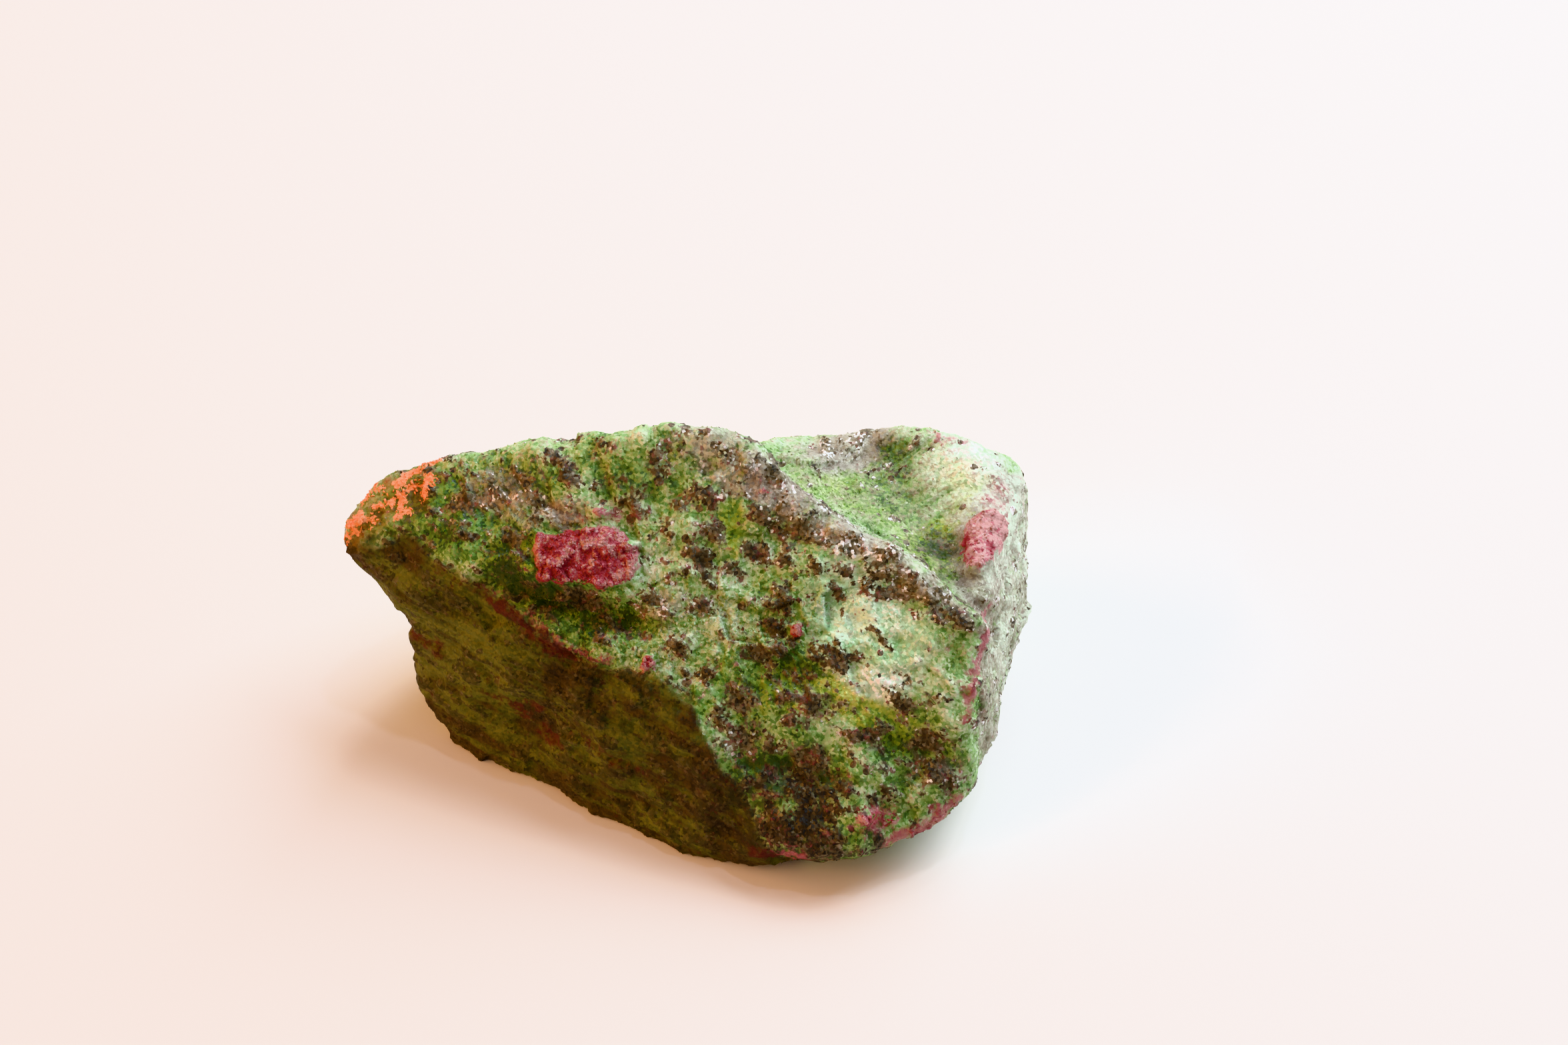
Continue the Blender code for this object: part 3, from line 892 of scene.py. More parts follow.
@dataclass
class RoughStone:
    """The whole stone: its wrapped skin, its relief and its mineral fields.

    Attributes:
        skin: The lattice that becomes the skin.
        relief: Sizes of the roughness.
        borders: How the minerals meet.
        clot_shapes: How hornblende gathers.
        start_radius: Where the lattice runs in from.
        middle_share: How high the point that it runs to is, over the stone's height.
        evening_rounds: How often the skin is relaxed and landed again.
        averaging_rounds: How often it is averaged before each landing.
        softening_rounds: How often it is smoothed at the end, to lose the CAD solid's facets.
        proud_rounds: How often it is averaged to find what stands proud.
        proud_share: How far each of those rounds moves a point to its neighbours' mean.
        proud_height: How far a point has to stand out to count as fully proud.
        facing_down: How far down a normal points where the stone starts to rest, and where it fully does.
        near_floor: The same for its height, below 0 so that it rises towards the floor.
        points: The finished vertex places, once built.
        normals: The outward directions there, once built.
        fields: The mineral fields there, once built.
    """

    skin: BoxSkin = BoxSkin((184, 120, 89))
    relief: Relief = Relief()
    borders: Borders = Borders()
    clot_shapes: ClotShapes = ClotShapes()
    start_radius: float = 60.0
    middle_share: float = 0.45
    evening_rounds: int = 6
    averaging_rounds: int = 4
    softening_rounds: int = 4
    proud_rounds: int = 14
    proud_share: float = 0.7
    proud_height: float = 0.3
    facing_down: tuple[float, float] = (0.5, 0.9)
    near_floor: tuple[float, float] = (-2.5, -0.5)
    points: Floats = field(default_factory=lambda: np.zeros((0, 3)))
    normals: Floats = field(default_factory=lambda: np.zeros((0, 3)))
    fields: Fields = field(default_factory=dict)

    def merged_copy(self) -> bpy.types.Object:
        """Copy the CAD stone with its loose triangles merged, as a surface to land on.

        Returns:
            The copy's object.
        """
        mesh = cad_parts[STONE_NODE].data.copy()
        shell = bmesh.new()
        shell.from_mesh(mesh)
        bmesh.ops.remove_doubles(shell, verts=shell.verts, dist=1e-6)
        shell.to_mesh(mesh)
        shell.free()
        obj = bpy.data.objects.new("landing", mesh)
        bpy.context.scene.collection.objects.link(obj)
        return obj

    def landed_skin(self) -> tuple[Floats, Ints, Floats]:
        """Wrap the lattice onto the CAD stone.

        The lattice box is blown out to a sphere about a point inside the stone, and each point of it
        runs straight in until it meets the CAD surface. Then rounds of averaging neighbours, each
        followed by landing on the nearest surface, even out the spacing.

        Returns:
            Vertex places in millimetres, quads, and bake map places.
        """
        places, quads, uv = self.skin.build()
        low, high = (np.array(corner) / MM for corner in CAD_BOX)
        middle = np.array([0.0, 0.0, self.middle_share * high[2]])
        target = self.merged_copy()
        ball = middle + unit(places * (high - low)) * self.start_radius
        points = wrapped(ball, quads, target, "PROJECT")
        edges = shared_edges(quads)
        for _ in range(self.evening_rounds):
            for _ in range(self.averaging_rounds):
                points = relaxed(points, edges)
            points = wrapped(points, quads, target, "NEAREST_SURFACEPOINT")
        for _ in range(self.softening_rounds):
            points = relaxed(points, edges)
        bpy.data.objects.remove(target)
        return points, quads, uv

    def minerals(self, points: Floats, normals: Floats) -> Fields:
        """Work out which mineral each point of the skin is made of.

        Args:
            points: Smooth skin places.
            normals: Outward directions there.

        Returns:
            Named fields: depths in millimetres, positive inside, and amounts about 0 to 1.
        """
        b = self.borders
        wobble = Randomness(40).wobble(points, b.wander_size)
        ragged = Randomness(45).wobble(points, b.fray_size)
        bent = points + b.wander * wobble
        below = np.interp(points[:, 0], *np.array(CREASE).T) - points[:, 2] + b.crease_wander * wobble[:, 2]
        foliated = smooth_step(below, *b.crease_fade) * smooth_step(-normals[:, 1], *b.front_fade)
        clot_drift = b.clot_drift * Randomness(50).clouds(points, b.drift_size, 3)
        warmth_drift = b.warmth_drift * Randomness(55).clouds(points, b.drift_size, 3)
        density = summed(CLOTTED, bent, b.zone_softness) + clot_drift
        reddened = summed(REDDENED, points + b.stain_fray * ragged, b.stain_softness)
        return {
            "ruby": deepest(RUBIES, points + b.ruby_fray * ragged),
            "reddened": np.clip(reddened, 0.0, 1.0),
            "crust": deepest(CRUSTS, points + b.crust_fray * ragged),
            "crust_ground": summed(CRUST_GROUND, bent, b.crust_softness),
            "lightness": summed(LIGHTER, bent, b.zone_softness),
            "warmth": summed(WARMER, bent, b.warmth_softness) + warmth_drift,
            "dust": summed(DUSTIER, bent, b.dust_softness),
            "foliated": foliated,
            "hornblende": self.clots(points, density, foliated),
        }

    def clots(self, points: Floats, density: Floats, foliated: Floats) -> Floats:
        """How far each point is inside the hornblende, where 0 is a clot's border.

        Clouds drawn out along the foliation make ragged patches wherever they top a threshold, which
        the density lowers. Each named clot is a low lens, and finer clouds fray its border.

        Args:
            points: Skin places.
            density: How much more hornblende there is than elsewhere.
            foliated: 1 where the rock is foliated.

        Returns:
            -1.5 to 1, positive inside.
        """
        c = self.clot_shapes
        along = unit(GRAIN_RUN)
        draw = (c.drawing + c.foliated_drawing * foliated)[:, None]
        drawn = points - np.outer(points @ along, along) * draw
        veil = c.veil_height * Randomness(61).clouds(drawn, c.veil_size, 3, c.veil_gain)
        veil += density - c.veil_drop + c.foliated_rise * foliated
        fray = Randomness(62).clouds(drawn, c.fray_size, 3, c.fray_gain)
        lump = np.full(len(points), -1.0)
        for x, y, z, radius in CLOTS:
            away = points - np.array([x, y, z])
            run = away @ along
            distance = np.linalg.norm(away - np.outer(c.lens_drawing * run, along), axis=-1)
            lump = np.maximum(lump, 1.0 - distance / (c.lens_share * radius))
        lens = c.lens_height * lump + c.fray_height * fray - c.lens_drop
        return np.clip(np.maximum(veil, lens), -1.5, 1.0)

    def heights(self, points: Floats, fields: Fields) -> Floats:
        """Add up how far each point stands out of the smooth skin.

        The sum of fractal swells, tilted flat breaks of two sizes, domed grains, raised clots, proud
        ruby, its globules, crust, and streaks along the foliation, each times its own height, less
        the dents.

        Args:
            points: Smooth skin places.
            fields: The mineral fields.

        Returns:
            Heights in millimetres.
        """
        r = self.relief
        foliated = fields["foliated"]
        high = r.swell_height * Randomness(1).clouds(points, r.swell_size, 4)
        high += Randomness(2).facets(points, r.break_size, r.break_slope)
        high += Randomness(3).facets(points, r.chip_size, r.chip_slope) * (1.0 - r.foliated_calm * foliated)
        grain = Randomness(4).cells(points, r.grain_size)
        high += r.grain_height * (0.5 - grain.nearest / r.grain_size)
        high += r.clot_height * smooth_step(fields["hornblende"], *r.clot_edge)
        high += r.ruby_rise * smooth_step(fields["ruby"], *r.ruby_edge)
        globule = Randomness(6).cells(points, r.globule_size)
        across = globule.nearest / (r.globule_share * r.globule_size)
        dome = np.sqrt(np.maximum(0.0, 1.0 - across**2))
        high += r.globule_height * dome * smooth_step(RIGHT_RUBY.depth(points), *r.globule_edge)
        high += r.crust_height * smooth_step(fields["crust"], *r.crust_edge)
        along = unit(GRAIN_RUN)
        drawn = points - np.outer((points @ along) * (1.0 - r.streak_width / r.streak_length), along)
        ridged = 1.0 - 2.0 * np.abs(Randomness(5).clouds(drawn, r.streak_width, 3))
        return high + r.streak_height * ridged * foliated - summed(DENTS, points, self.borders.dent_softness)

    def proudness(self, quads: Ints) -> Floats:
        """How far each point stands over the skin's average around it: -1 in a hollow, 1 on an edge.

        The average is many rounds of neighbour means, and the height over it is divided by proud_height.

        Args:
            quads: The skin's faces.

        Returns:
            One number for each point.
        """
        edges = shared_edges(quads)
        mean = self.points
        for _ in range(self.proud_rounds):
            mean = relaxed(mean, edges, self.proud_share)
        over = np.sum((self.points - mean) * self.normals, axis=-1)
        return np.clip(over / self.proud_height, -1.0, 1.0)

    def build(self) -> bpy.types.Object:
        """Make the finished stone mesh with its fields and its bake map.

        Returns:
            The stone's object.
        """
        smooth, quads, uv = self.landed_skin()
        normals = vertex_normals(smooth, quads)
        self.fields = self.minerals(smooth, normals)
        turned_down = smooth_step(-normals[:, 2], *self.facing_down)
        resting = turned_down * smooth_step(-smooth[:, 2], *self.near_floor)
        self.fields["resting"] = resting
        self.points = smooth + normals * (self.heights(smooth, self.fields) * (1.0 - resting))[:, None]
        self.points[:, 2] = np.maximum(self.points[:, 2], 0.0)
        self.normals = vertex_normals(self.points, quads)
        self.fields["proud"] = self.proudness(quads)
        return finished_piece("ruby_in_zoisite_stone", self.points, quads, uv, self.fields)


def finished_piece(name: str, points: Floats, faces: Any, uv: Floats, fields: Fields) -> bpy.types.Object:
    """Put arrays into a mesh, with a bake map and float attributes.

    Args:
        name: The piece's name.
        points: Vertex places in millimetres.
        faces: Vertex numbers of each face.
        uv: A bake map place for each face corner, in face order.
        fields: Values for each vertex, by attribute name.

    Returns:
        The new object.
    """
    mesh = bpy.data.meshes.new(name)
    mesh.from_pydata((points * MM).tolist(), [], [list(face) for face in faces])
    mesh.uv_layers.new(name=BAKE_MAP).data.foreach_set("uv", uv.astype(np.float32).ravel())
    for key, values in fields.items():
        mesh.attributes.new(key, "FLOAT", "POINT").data.foreach_set("value", values.astype(np.float32))
    mesh.update()
    obj = bpy.data.objects.new(name, mesh)
    bpy.context.scene.collection.objects.link(obj)
    return obj


@dataclass(frozen=True)
class Crystals:
    """Many small faceted solids of one mineral, standing in the skin of the stone.

    A crystal is turned from a profile: a blunt tip, rings of corners, and a blunt tip. Its own random
    stretch and turn make each one different.

    Attributes:
        name: The piece's name.
        count: How many there are.
        sides: Corners in each ring.
        rings: The height and the radius of each ring.
        tip: How high the upper tip is, and how low the lower one.
        size: The least and the greatest half width.
        stretch: The least and the greatest length over width.
        sunk: How deep the middle lies in the skin, over the half width.
        seed: What the random draws start from.
        flake: 1 where they are flakes of crust.
        uneven: The least and the greatest of each crystal's own scale on each of its axes.
        chipped: The same for each of its corners.
    """

    name: str
    count: int
    sides: int
    rings: tuple[tuple[float, float], ...]
    tip: float
    size: tuple[float, float]
    stretch: tuple[float, float]
    sunk: float
    seed: int
    flake: float = 0.0
    uneven: tuple[float, float] = (0.75, 1.2)
    chipped: tuple[float, float] = (0.82, 1.15)

    def profile(self) -> tuple[Floats, list[tuple[int, ...]], Floats]:
        """One crystal: corners, faces and bake map places in a unit tile.

        The map is a star: the upper tip is its middle, each ring lies on a wider circle, and the
        lower tip is drawn once at the end of each ray.

        Returns:
            Corner places, faces, and map places in face corner order.
        """
        n, rows = self.sides, len(self.rings)
        turn = 2.0 * np.pi * np.arange(n) / n
        corners = [np.array([[0.0, 0.0, self.tip]])]
        for high, wide in self.rings:
            corners.append(np.stack([wide * np.cos(turn), wide * np.sin(turn), np.full(n, high)], axis=-1))
        corners.append(np.array([[0.0, 0.0, -self.tip]]))
        faces: list[tuple[int, ...]] = []
        places: list[tuple[float, float]] = []
        step = STAR_RADIUS / (rows + 1)

        def spot(ray: float, row: int) -> tuple[float, float]:
            """A place on a ray of the star."""
            angle = 2.0 * math.pi * ray / n
            return (0.5 + row * step * math.cos(angle), 0.5 + row * step * math.sin(angle))

        for i in range(n):
            j = (i + 1) % n
            faces.append((0, 1 + i, 1 + j))
            places += [spot(0, 0), spot(i, 1), spot(i + 1, 1)]
            for row in range(rows - 1):
                a, b = 1 + row * n, 1 + (row + 1) * n
                faces.append((a + i, b + i, b + j, a + j))
                places += [spot(i, row + 1), spot(i, row + 2), spot(i + 1, row + 2), spot(i + 1, row + 1)]
            last = 1 + (rows - 1) * n
            faces.append((last + i, 1 + rows * n, last + j))
            places += [spot(i, rows), spot(i + 0.5, rows + 1), spot(i + 1, rows)]
        return np.concatenate(corners), faces, np.array(places)

    def build(self, stone: RoughStone, wanted: Floats) -> bpy.types.Object:
        """Scatter the crystals over the stone.

        Args:
            stone: The finished stone.
            wanted: How likely each of its vertices is to carry a crystal.

        Returns:
            The crystals, as one object.
        """
        draw = np.random.default_rng(self.seed)
        count = min(self.count, int(np.count_nonzero(wanted > 0.0)))
        host = draw.choice(len(wanted), size=count, replace=False, p=wanted / wanted.sum())
        corners, faces, places = self.profile()
        half = draw.uniform(*self.size, count)
        scale = half[:, None] * draw.uniform(*self.uneven, (count, 3))
        scale[:, 2] *= draw.uniform(*self.stretch, count)
        spin = np.linalg.qr(draw.normal(size=(count, 3, 3)))[0]
        spin *= np.sign(np.linalg.det(spin))[:, None, None]
        chipped = corners[None] * draw.uniform(*self.chipped, (count, len(corners), 1))
        middle = stone.points[host] - stone.normals[host] * (self.sunk * half)[:, None]
        points = np.einsum("nij,nkj->nki", spin, chipped * scale[:, None, :]) + middle[:, None, :]
        points[..., 2] = np.maximum(points[..., 2], CLEAR_OF_FLOOR)
        each = len(corners)
        all_faces = [tuple(c + k * each for c in face) for k in range(count) for face in faces]
        across = math.ceil(math.sqrt(count))
        tile = np.stack([np.arange(count) % across, np.arange(count) // across], axis=-1)
        uv = (places[None] + tile[:, None, :]) / across
        fields = {name: np.repeat(values[host], each) for name, values in stone.fields.items()}
        fields["tone"] = np.repeat(draw.uniform(-1.0, 1.0, count), each)
        fields["flake"] = np.full(count * each, self.flake)
        return finished_piece(self.name, points.reshape(-1, 3), all_faces, uv, fields)


@dataclass(frozen=True)
class Wiring:
    """A material and the one way to add to its node tree."""

    material: bpy.types.Material

    def add(self, kind: str, inputs: dict[Any, Any], out: Any = 0, **settings: Any) -> Any:
        """Add one shader node with its settings and links.

        Args:
            kind: The node's type name, without ShaderNode.
            inputs: For each input's name or number, a number, a tuple, a Shade, or a socket to link.
            out: The name or number of the output to give back.
            settings: The node's own properties. A colour ramp's stops are pairs of place and Shade.

        Returns:
            The output socket, or the node where it has none.
        """
        tree = self.material.node_tree
        node = tree.nodes.new("ShaderNode" + kind)
        for place, shade in settings.pop("stops", ()):
            near = [e for e in node.color_ramp.elements if abs(e.position - place) < 1e-6]
            element = near[0] if near else node.color_ramp.elements.new(place)
            element.color = linear(shade)
        for name, value in settings.items():
            setattr(node, name, value)
        for name, value in inputs.items():
            if isinstance(value, bpy.types.NodeSocket):
                tree.links.new(value, node.inputs[name])
            else:
                node.inputs[name].default_value = linear(value) if isinstance(value, Shade) else value
        return node.outputs[out] if len(node.outputs) else node


def new_wiring(name: str) -> Wiring:
    """Make a material with an empty node tree.

    Args:
        name: The material's name.

    Returns:
        Its wiring.
    """
    material = bpy.data.materials.new(name)
    material.use_nodes = True
    material.node_tree.nodes.clear()
    return Wiring(material)


MIX_A, MIX_B, MIX_OUT = 6, 7, 2  # a colour Mix node's own numbers for its two inputs and its output
COLOUR = {"data_type": "RGBA"}
SOFT = {"interpolation_type": "SMOOTHSTEP"}
FUSED = {"operation": "MULTIPLY_ADD"}  # the first input times the second, plus the third
FIELDS = (
    "ruby", "reddened", "crust", "crust_ground", "lightness", "warmth", "dust", "foliated",
    "hornblende", "proud", "tone", "flake",
)


@dataclass(frozen=True)
class Patterns:
    """What every layer of the rock reads.

    Attributes:
        add: The one way to add a node to the rock's material.
        at: The mineral fields.
        mm: Object coordinates in millimetres.
        cloudy: Clouds as large as the cloudy green patches.
        patchy: Clouds as large as the smaller patches.
        grains: One random colour for each grain.
        grain: That colour's three parts.
    """

    add: Callable[..., Any]
    at: dict[str, Any]
    mm: Any
    cloudy: Any
    patchy: Any
    grains: Any
    grain: Any


@dataclass(frozen=True)
class BrokenRock:
    """Ruby in zoisite, broken by a hammer and unpolished.

    Zoisite is a sugary mass of glassy grains 0.3 to 0.5 mm wide, so it glitters in points and its
    green is broken up grain by grain, frosted to mint where the grains are bruised. Hornblende sits
    in it as dark clots, and ruby as crimson blocks with a frosted bloom.

    Attributes:
        grain: The width of a zoisite grain.
        mottle: The size of the cloudy green patches.
        patch: The size of the smaller patches.
        pepper: The spacing of the lone grains of hornblende.
        streak: How many times longer a streak of the foliated face is than wide.
        rough: How matt the broken grains are.
        glossy: How matt a clean cleavage face is.
        matt: How matt the foliated face and the crust are.
        shine: How much the grains reflect, which is little, as they shade each other.
        ior: The refractive index of zoisite.
    """

    grain: float = 0.30
    mottle: float = 4.0
    patch: float = 1.3
    pepper: float = 1.4
    streak: float = 5.0
    rough: float = 0.62
    glossy: float = 0.14
    matt: float = 0.8
    shine: float = 0.27
    ior: float = 1.69

    def patterns(self, add: Callable[..., Any]) -> Patterns:
        """Add the nodes that the layers share.

        Args:
            add: Adds a node to the material.

        Returns:
            Their outputs.
        """
        mm = add("VectorMath", {0: add("TexCoord", {}, "Object"), "Scale": 1.0 / MM}, operation="SCALE")
        at = {name: add("Attribute", {}, "Fac", attribute_name=name) for name in FIELDS}
        cloudy = add("TexNoise", {"Vector": mm, "Scale": 1 / self.mottle, "Detail": 5.0, "Roughness": 0.6})
        patchy = add("TexNoise", {"Vector": mm, "Scale": 1 / self.patch, "Detail": 5.0, "Roughness": 0.7})
        grains = add("TexVoronoi", {"Vector": mm, "Scale": 1 / self.grain}, "Color")
        grain = add("SeparateColor", {0: grains}).node.outputs
        return Patterns(add, at, mm, cloudy, patchy, grains, grain)

    def paleness(self, p: Patterns) -> Any:
        """How pale each grain of zoisite is: clouds, patches, the grain itself, the zones and edges. Proud
        edges are paler as bruised frost, and hollows are darker as painted shade.

        Args:
            p: The shared patterns.

        Returns:
            About 0 to 1, as the sum of each source times its share.
        """
        shares = (
            (p.cloudy, 0.75), (p.patchy, 0.46), (p.grain["Red"], 0.26),
            (p.at["lightness"], 0.17), (p.at["proud"], 0.10), (p.at["tone"], 0.08),
        )
        pale: Any = -0.20
        for source, share in shares:
            pale = p.add("Math", {0: source, 1: share, 2: pale}, **FUSED)
        return pale

    def zoisite(self, p: Patterns, pale: Any) -> Any:
        """Zoisite from deep green to frosted mint, tinted olive where it is warm and turquoise where cool.

        Args:
            p: The shared patterns.
            pale: How pale each grain is.

        Returns:
            Its colour.
        """
        stops = (
            (0.0, Shade.ZOISITE_DEEP), (0.30, Shade.ZOISITE_DEEP), (0.43, Shade.ZOISITE_MID),
            (0.56, Shade.ZOISITE_LIGHT), (0.70, Shade.ZOISITE_MINT), (0.90, Shade.ZOISITE_FROST),
        )
        green = p.add("ValToRGB", {0: pale}, stops=stops)
        for low, high, tint in ((0.1, 0.9, Shade.OLIVE_TINT), (-0.2, -0.9, Shade.TURQUOISE_TINT)):
            share = p.add("MapRange", {0: p.at["warmth"], 1: low, 2: high}, **SOFT)
            inputs = {0: share, MIX_A: green, MIX_B: tint}
            green = p.add("Mix", inputs, MIX_OUT, blend_type="MULTIPLY", **COLOUR)
        return green

    def hornblende(self, p: Patterns) -> tuple[Any, Any]:
        """How much hornblende there is: its field, patches, the grain's own chance, and lone grains.

        A lone grain is a ball about its cell's middle, as wide as the cell's chance allows, and the
        patches fray it.

        Args:
            p: The shared patterns.

        Returns:
            The amount, and the haze of it round each clot.
        """
        horn = p.add("Math", {0: p.patchy, 1: 2.0, 2: -1.0}, **FUSED)
        horn = p.add("Math", {0: p.at["hornblende"], 1: horn}, operation="ADD")
        haze = p.add("MapRange", {0: horn, 1: -0.5, 2: 0.1, 3: 0.0, 4: 0.4}, **SOFT)
        horn = p.add("Math", {0: p.grain["Green"], 1: 0.55, 2: horn}, **FUSED)
        middle = p.add("TexVoronoi", {"Vector": p.mm, "Scale": 1 / self.pepper}, "Distance")
        chance = p.add("SeparateColor", {0: middle.node.outputs["Color"]}, "Red")
        chance = p.add("Math", {0: p.at["hornblende"], 1: 0.12, 2: chance}, **FUSED)
        radius = p.add("MapRange", {0: chance, 1: 0.45, 2: 0.95, 3: -0.1, 4: 0.42})
        lone = p.add("Math", {0: radius, 1: middle}, operation="SUBTRACT")
        lone = p.add("Math", {0: p.patchy, 1: 0.5, 2: lone}, **FUSED)
        lone = p.add("MapRange", {0: lone, 1: 0.24, 2: 0.32, 3: -1.0, 4: 0.55}, **SOFT)
        return p.add("Math", {0: horn, 1: lone}, operation="MAXIMUM"), haze

    def dusted(self, p: Patterns, colour: Any, pale: Any, haze: Any) -> Any:
        """Lay on brown dust of broken hornblende, in the zones and round each clot.

        Args:
            p: The shared patterns.
            colour: The rock below.
            pale: How pale each grain is.
            haze: The haze round each clot.

        Returns:
            The colour with it.
        """
        dusty = p.add("Math", {0: p.patchy, 1: 3.4, 2: -1.7}, **FUSED)
        dusty = p.add("Math", {0: p.at["dust"], 1: dusty}, operation="ADD")
        dusty = p.add("MapRange", {0: dusty, 1: 0.1, 2: 0.9}, **SOFT)
        dusty = p.add("Math", {0: dusty, 1: p.at["dust"]}, operation="MULTIPLY", use_clamp=True)
        dusty = p.add("Math", {0: dusty, 1: haze}, operation="MAXIMUM")
        stops = (
            (0.22, Shade.DUST_DARK), (0.46, Shade.DUST_BROWN), (0.70, Shade.DUST_GREY),
            (1.0, Shade.ZOISITE_FROST),
        )
        brown = p.add("ValToRGB", {0: pale}, stops=stops)
        return p.add("Mix", {0: dusty, MIX_A: colour, MIX_B: brown}, MIX_OUT, **COLOUR)

    def foliated(self, p: Patterns, colour: Any) -> Any:
        """Darken the foliated face in streaks, and rust the ground of the crust. The streaks follow its
        foliation; their darkness is painted shade, as that face turns away from the lights.

        Args:
            p: The shared patterns.
            colour: The rock below.

        Returns:
            The colour with both.
        """
        run = {"Vector": p.mm, "Rotation": (0.0, 0.2, -0.478), "Scale": (self.streak, 1.0, 1.0)}
        drawn = p.add("Mapping", run, vector_type="TEXTURE")
        streaky = p.add("TexNoise", {"Vector": drawn, "Scale": 0.55, "Detail": 4.0, "Roughness": 0.6})
        streaky = p.add("Math", {0: p.cloudy, 1: 0.5, 2: streaky}, **FUSED)
        streaky = p.add("Math", {0: p.grain["Red"], 1: 0.06, 2: streaky}, **FUSED)
        lifted = p.add("MapRange", {0: p.at["lightness"], 1: 0.0, 2: 1.0, 3: 0.0, 4: 0.18})
        streaky = p.add("Math", {0: lifted, 1: streaky}, operation="ADD")
        stops = (
            (0.62, Shade.SHADED_FOLIATED_DARK), (0.76, Shade.SHADED_FOLIATED_BROWN), (0.88, Shade.SHADED_FOLIATED_OLIVE),
            (1.0, Shade.SHADED_FOLIATED_OCHRE),
        )
        shaded_streaks = p.add("ValToRGB", {0: streaky}, stops=stops)
        colour = p.add("Mix", {0: p.at["foliated"], MIX_A: colour, MIX_B: shaded_streaks}, MIX_OUT, **COLOUR)
        rusty = p.add("Math", {0: p.patchy, 1: 2.0, 2: -0.5}, **FUSED)
        rusty = p.add("Math", {0: p.at["crust_ground"], 1: rusty}, operation="MULTIPLY", use_clamp=True)
        return p.add("Mix", {0: rusty, MIX_A: colour, MIX_B: Shade.CRUST_GROUND}, MIX_OUT, **COLOUR)

    def clotted(self, p: Patterns, colour: Any, horn: Any) -> Any:
        """Lay on the hornblende, near black where it is fresh and brown where it is bruised or dusty.

        Args:
            p: The shared patterns.
            colour: The rock below.
            horn: The amount of hornblende.

        Returns:
            The colour with it.
        """
        bloom = p.add("Math", {0: p.grain["Blue"], 1: 0.5, 2: p.patchy}, **FUSED)
        # On the foliated face the hornblende is darkened further, as painted shade.
        shares = ((horn, -0.22), (p.at["foliated"], -0.25), (p.at["lightness"], 0.05), (p.at["dust"], 0.12))
        for source, share in shares:
            bloom = p.add("Math", {0: source, 1: share, 2: bloom}, **FUSED)
        stops = (
            (0.18, Shade.HORNBLENDE_PITCH), (0.42, Shade.HORNBLENDE_BLACK),
            (0.66, Shade.HORNBLENDE_BROWN), (0.92, Shade.HORNBLENDE_DUSTY),
        )
        dark = p.add("ValToRGB", {0: bloom}, stops=stops)
        thinned = p.add("Math", {0: p.at["foliated"], 1: -0.3, 2: 1.0}, **FUSED)
        clot = p.add("MapRange", {0: horn, 1: 0.15, 2: 0.42}, **SOFT)
        clot = p.add("Math", {0: clot, 1: thinned}, operation="MULTIPLY")
        return p.add("Mix", {0: clot, MIX_A: colour, MIX_B: dark}, MIX_OUT, **COLOUR)

    def reddened(self, p: Patterns, colour: Any) -> Any:
        """Redden the rock where ruby lies thin: rose on the green, and a darker wine on the foliated face,
        which is painted shade.

        Args:
            p: The shared patterns.
            colour: The rock below.

        Returns:
            The colour with it.
        """
        smear = p.add("Math", {0: p.patchy, 1: 2.2, 2: -1.1}, **FUSED)
        smear = p.add("Math", {0: p.grain["Green"], 1: 0.3, 2: smear}, **FUSED)
        smear = p.add("Math", {0: p.at["reddened"], 1: smear}, operation="ADD")
        smear = p.add("MapRange", {0: smear, 1: 0.25, 2: 0.95, 3: 0.0, 4: 0.85}, **SOFT)
        # How much of the smear takes its darker copy: painted shade on the foliated face.
        shade_share = p.add("MapRange", {0: p.at["foliated"], 1: 0.0, 2: 0.35})
        blush = p.add("Mix", {0: shade_share, MIX_A: Shade.RUBY_ROSE, MIX_B: Shade.SHADED_RUBY_SMEAR}, MIX_OUT, **COLOUR)
        return p.add("Mix", {0: smear, MIX_A: colour, MIX_B: blush}, MIX_OUT, **COLOUR)

    def rubied(self, p: Patterns, colour: Any) -> Any:
        """Lay on the ruby, deep where it is clean and frosted where it is bruised.

        Args:
            p: The shared patterns.
            colour: The rock below.

        Returns:
            The colour with it.
        """
        edge = p.add("Math", {0: p.patchy, 1: 2.2, 2: -1.1}, **FUSED)
        edge = p.add("Math", {0: p.at["ruby"], 1: edge}, operation="ADD")
        ruby = p.add("MapRange", {0: edge, 1: -0.10, 2: 0.15}, **SOFT)
        bruised = p.add("Math", {0: p.grain["Blue"], 1: 0.18, 2: p.patchy}, **FUSED)
        # Proud edges frost the ruby paler, and hollows darken it as painted shade.
        for source, share in ((p.at["proud"], 0.10), (p.cloudy, 0.56), (p.at["lightness"], 0.06)):
            bruised = p.add("Math", {0: source, 1: share, 2: bruised}, **FUSED)
        stops = (
            (0.70, Shade.RUBY_DEEP), (0.84, Shade.RUBY_CRIMSON), (0.96, Shade.RUBY_ROSE),
            (1.0, Shade.RUBY_FROST),
        )
        red = p.add("ValToRGB", {0: bruised}, stops=stops)
        return p.add("Mix", {0: ruby, MIX_A: colour, MIX_B: red}, MIX_OUT, **COLOUR)

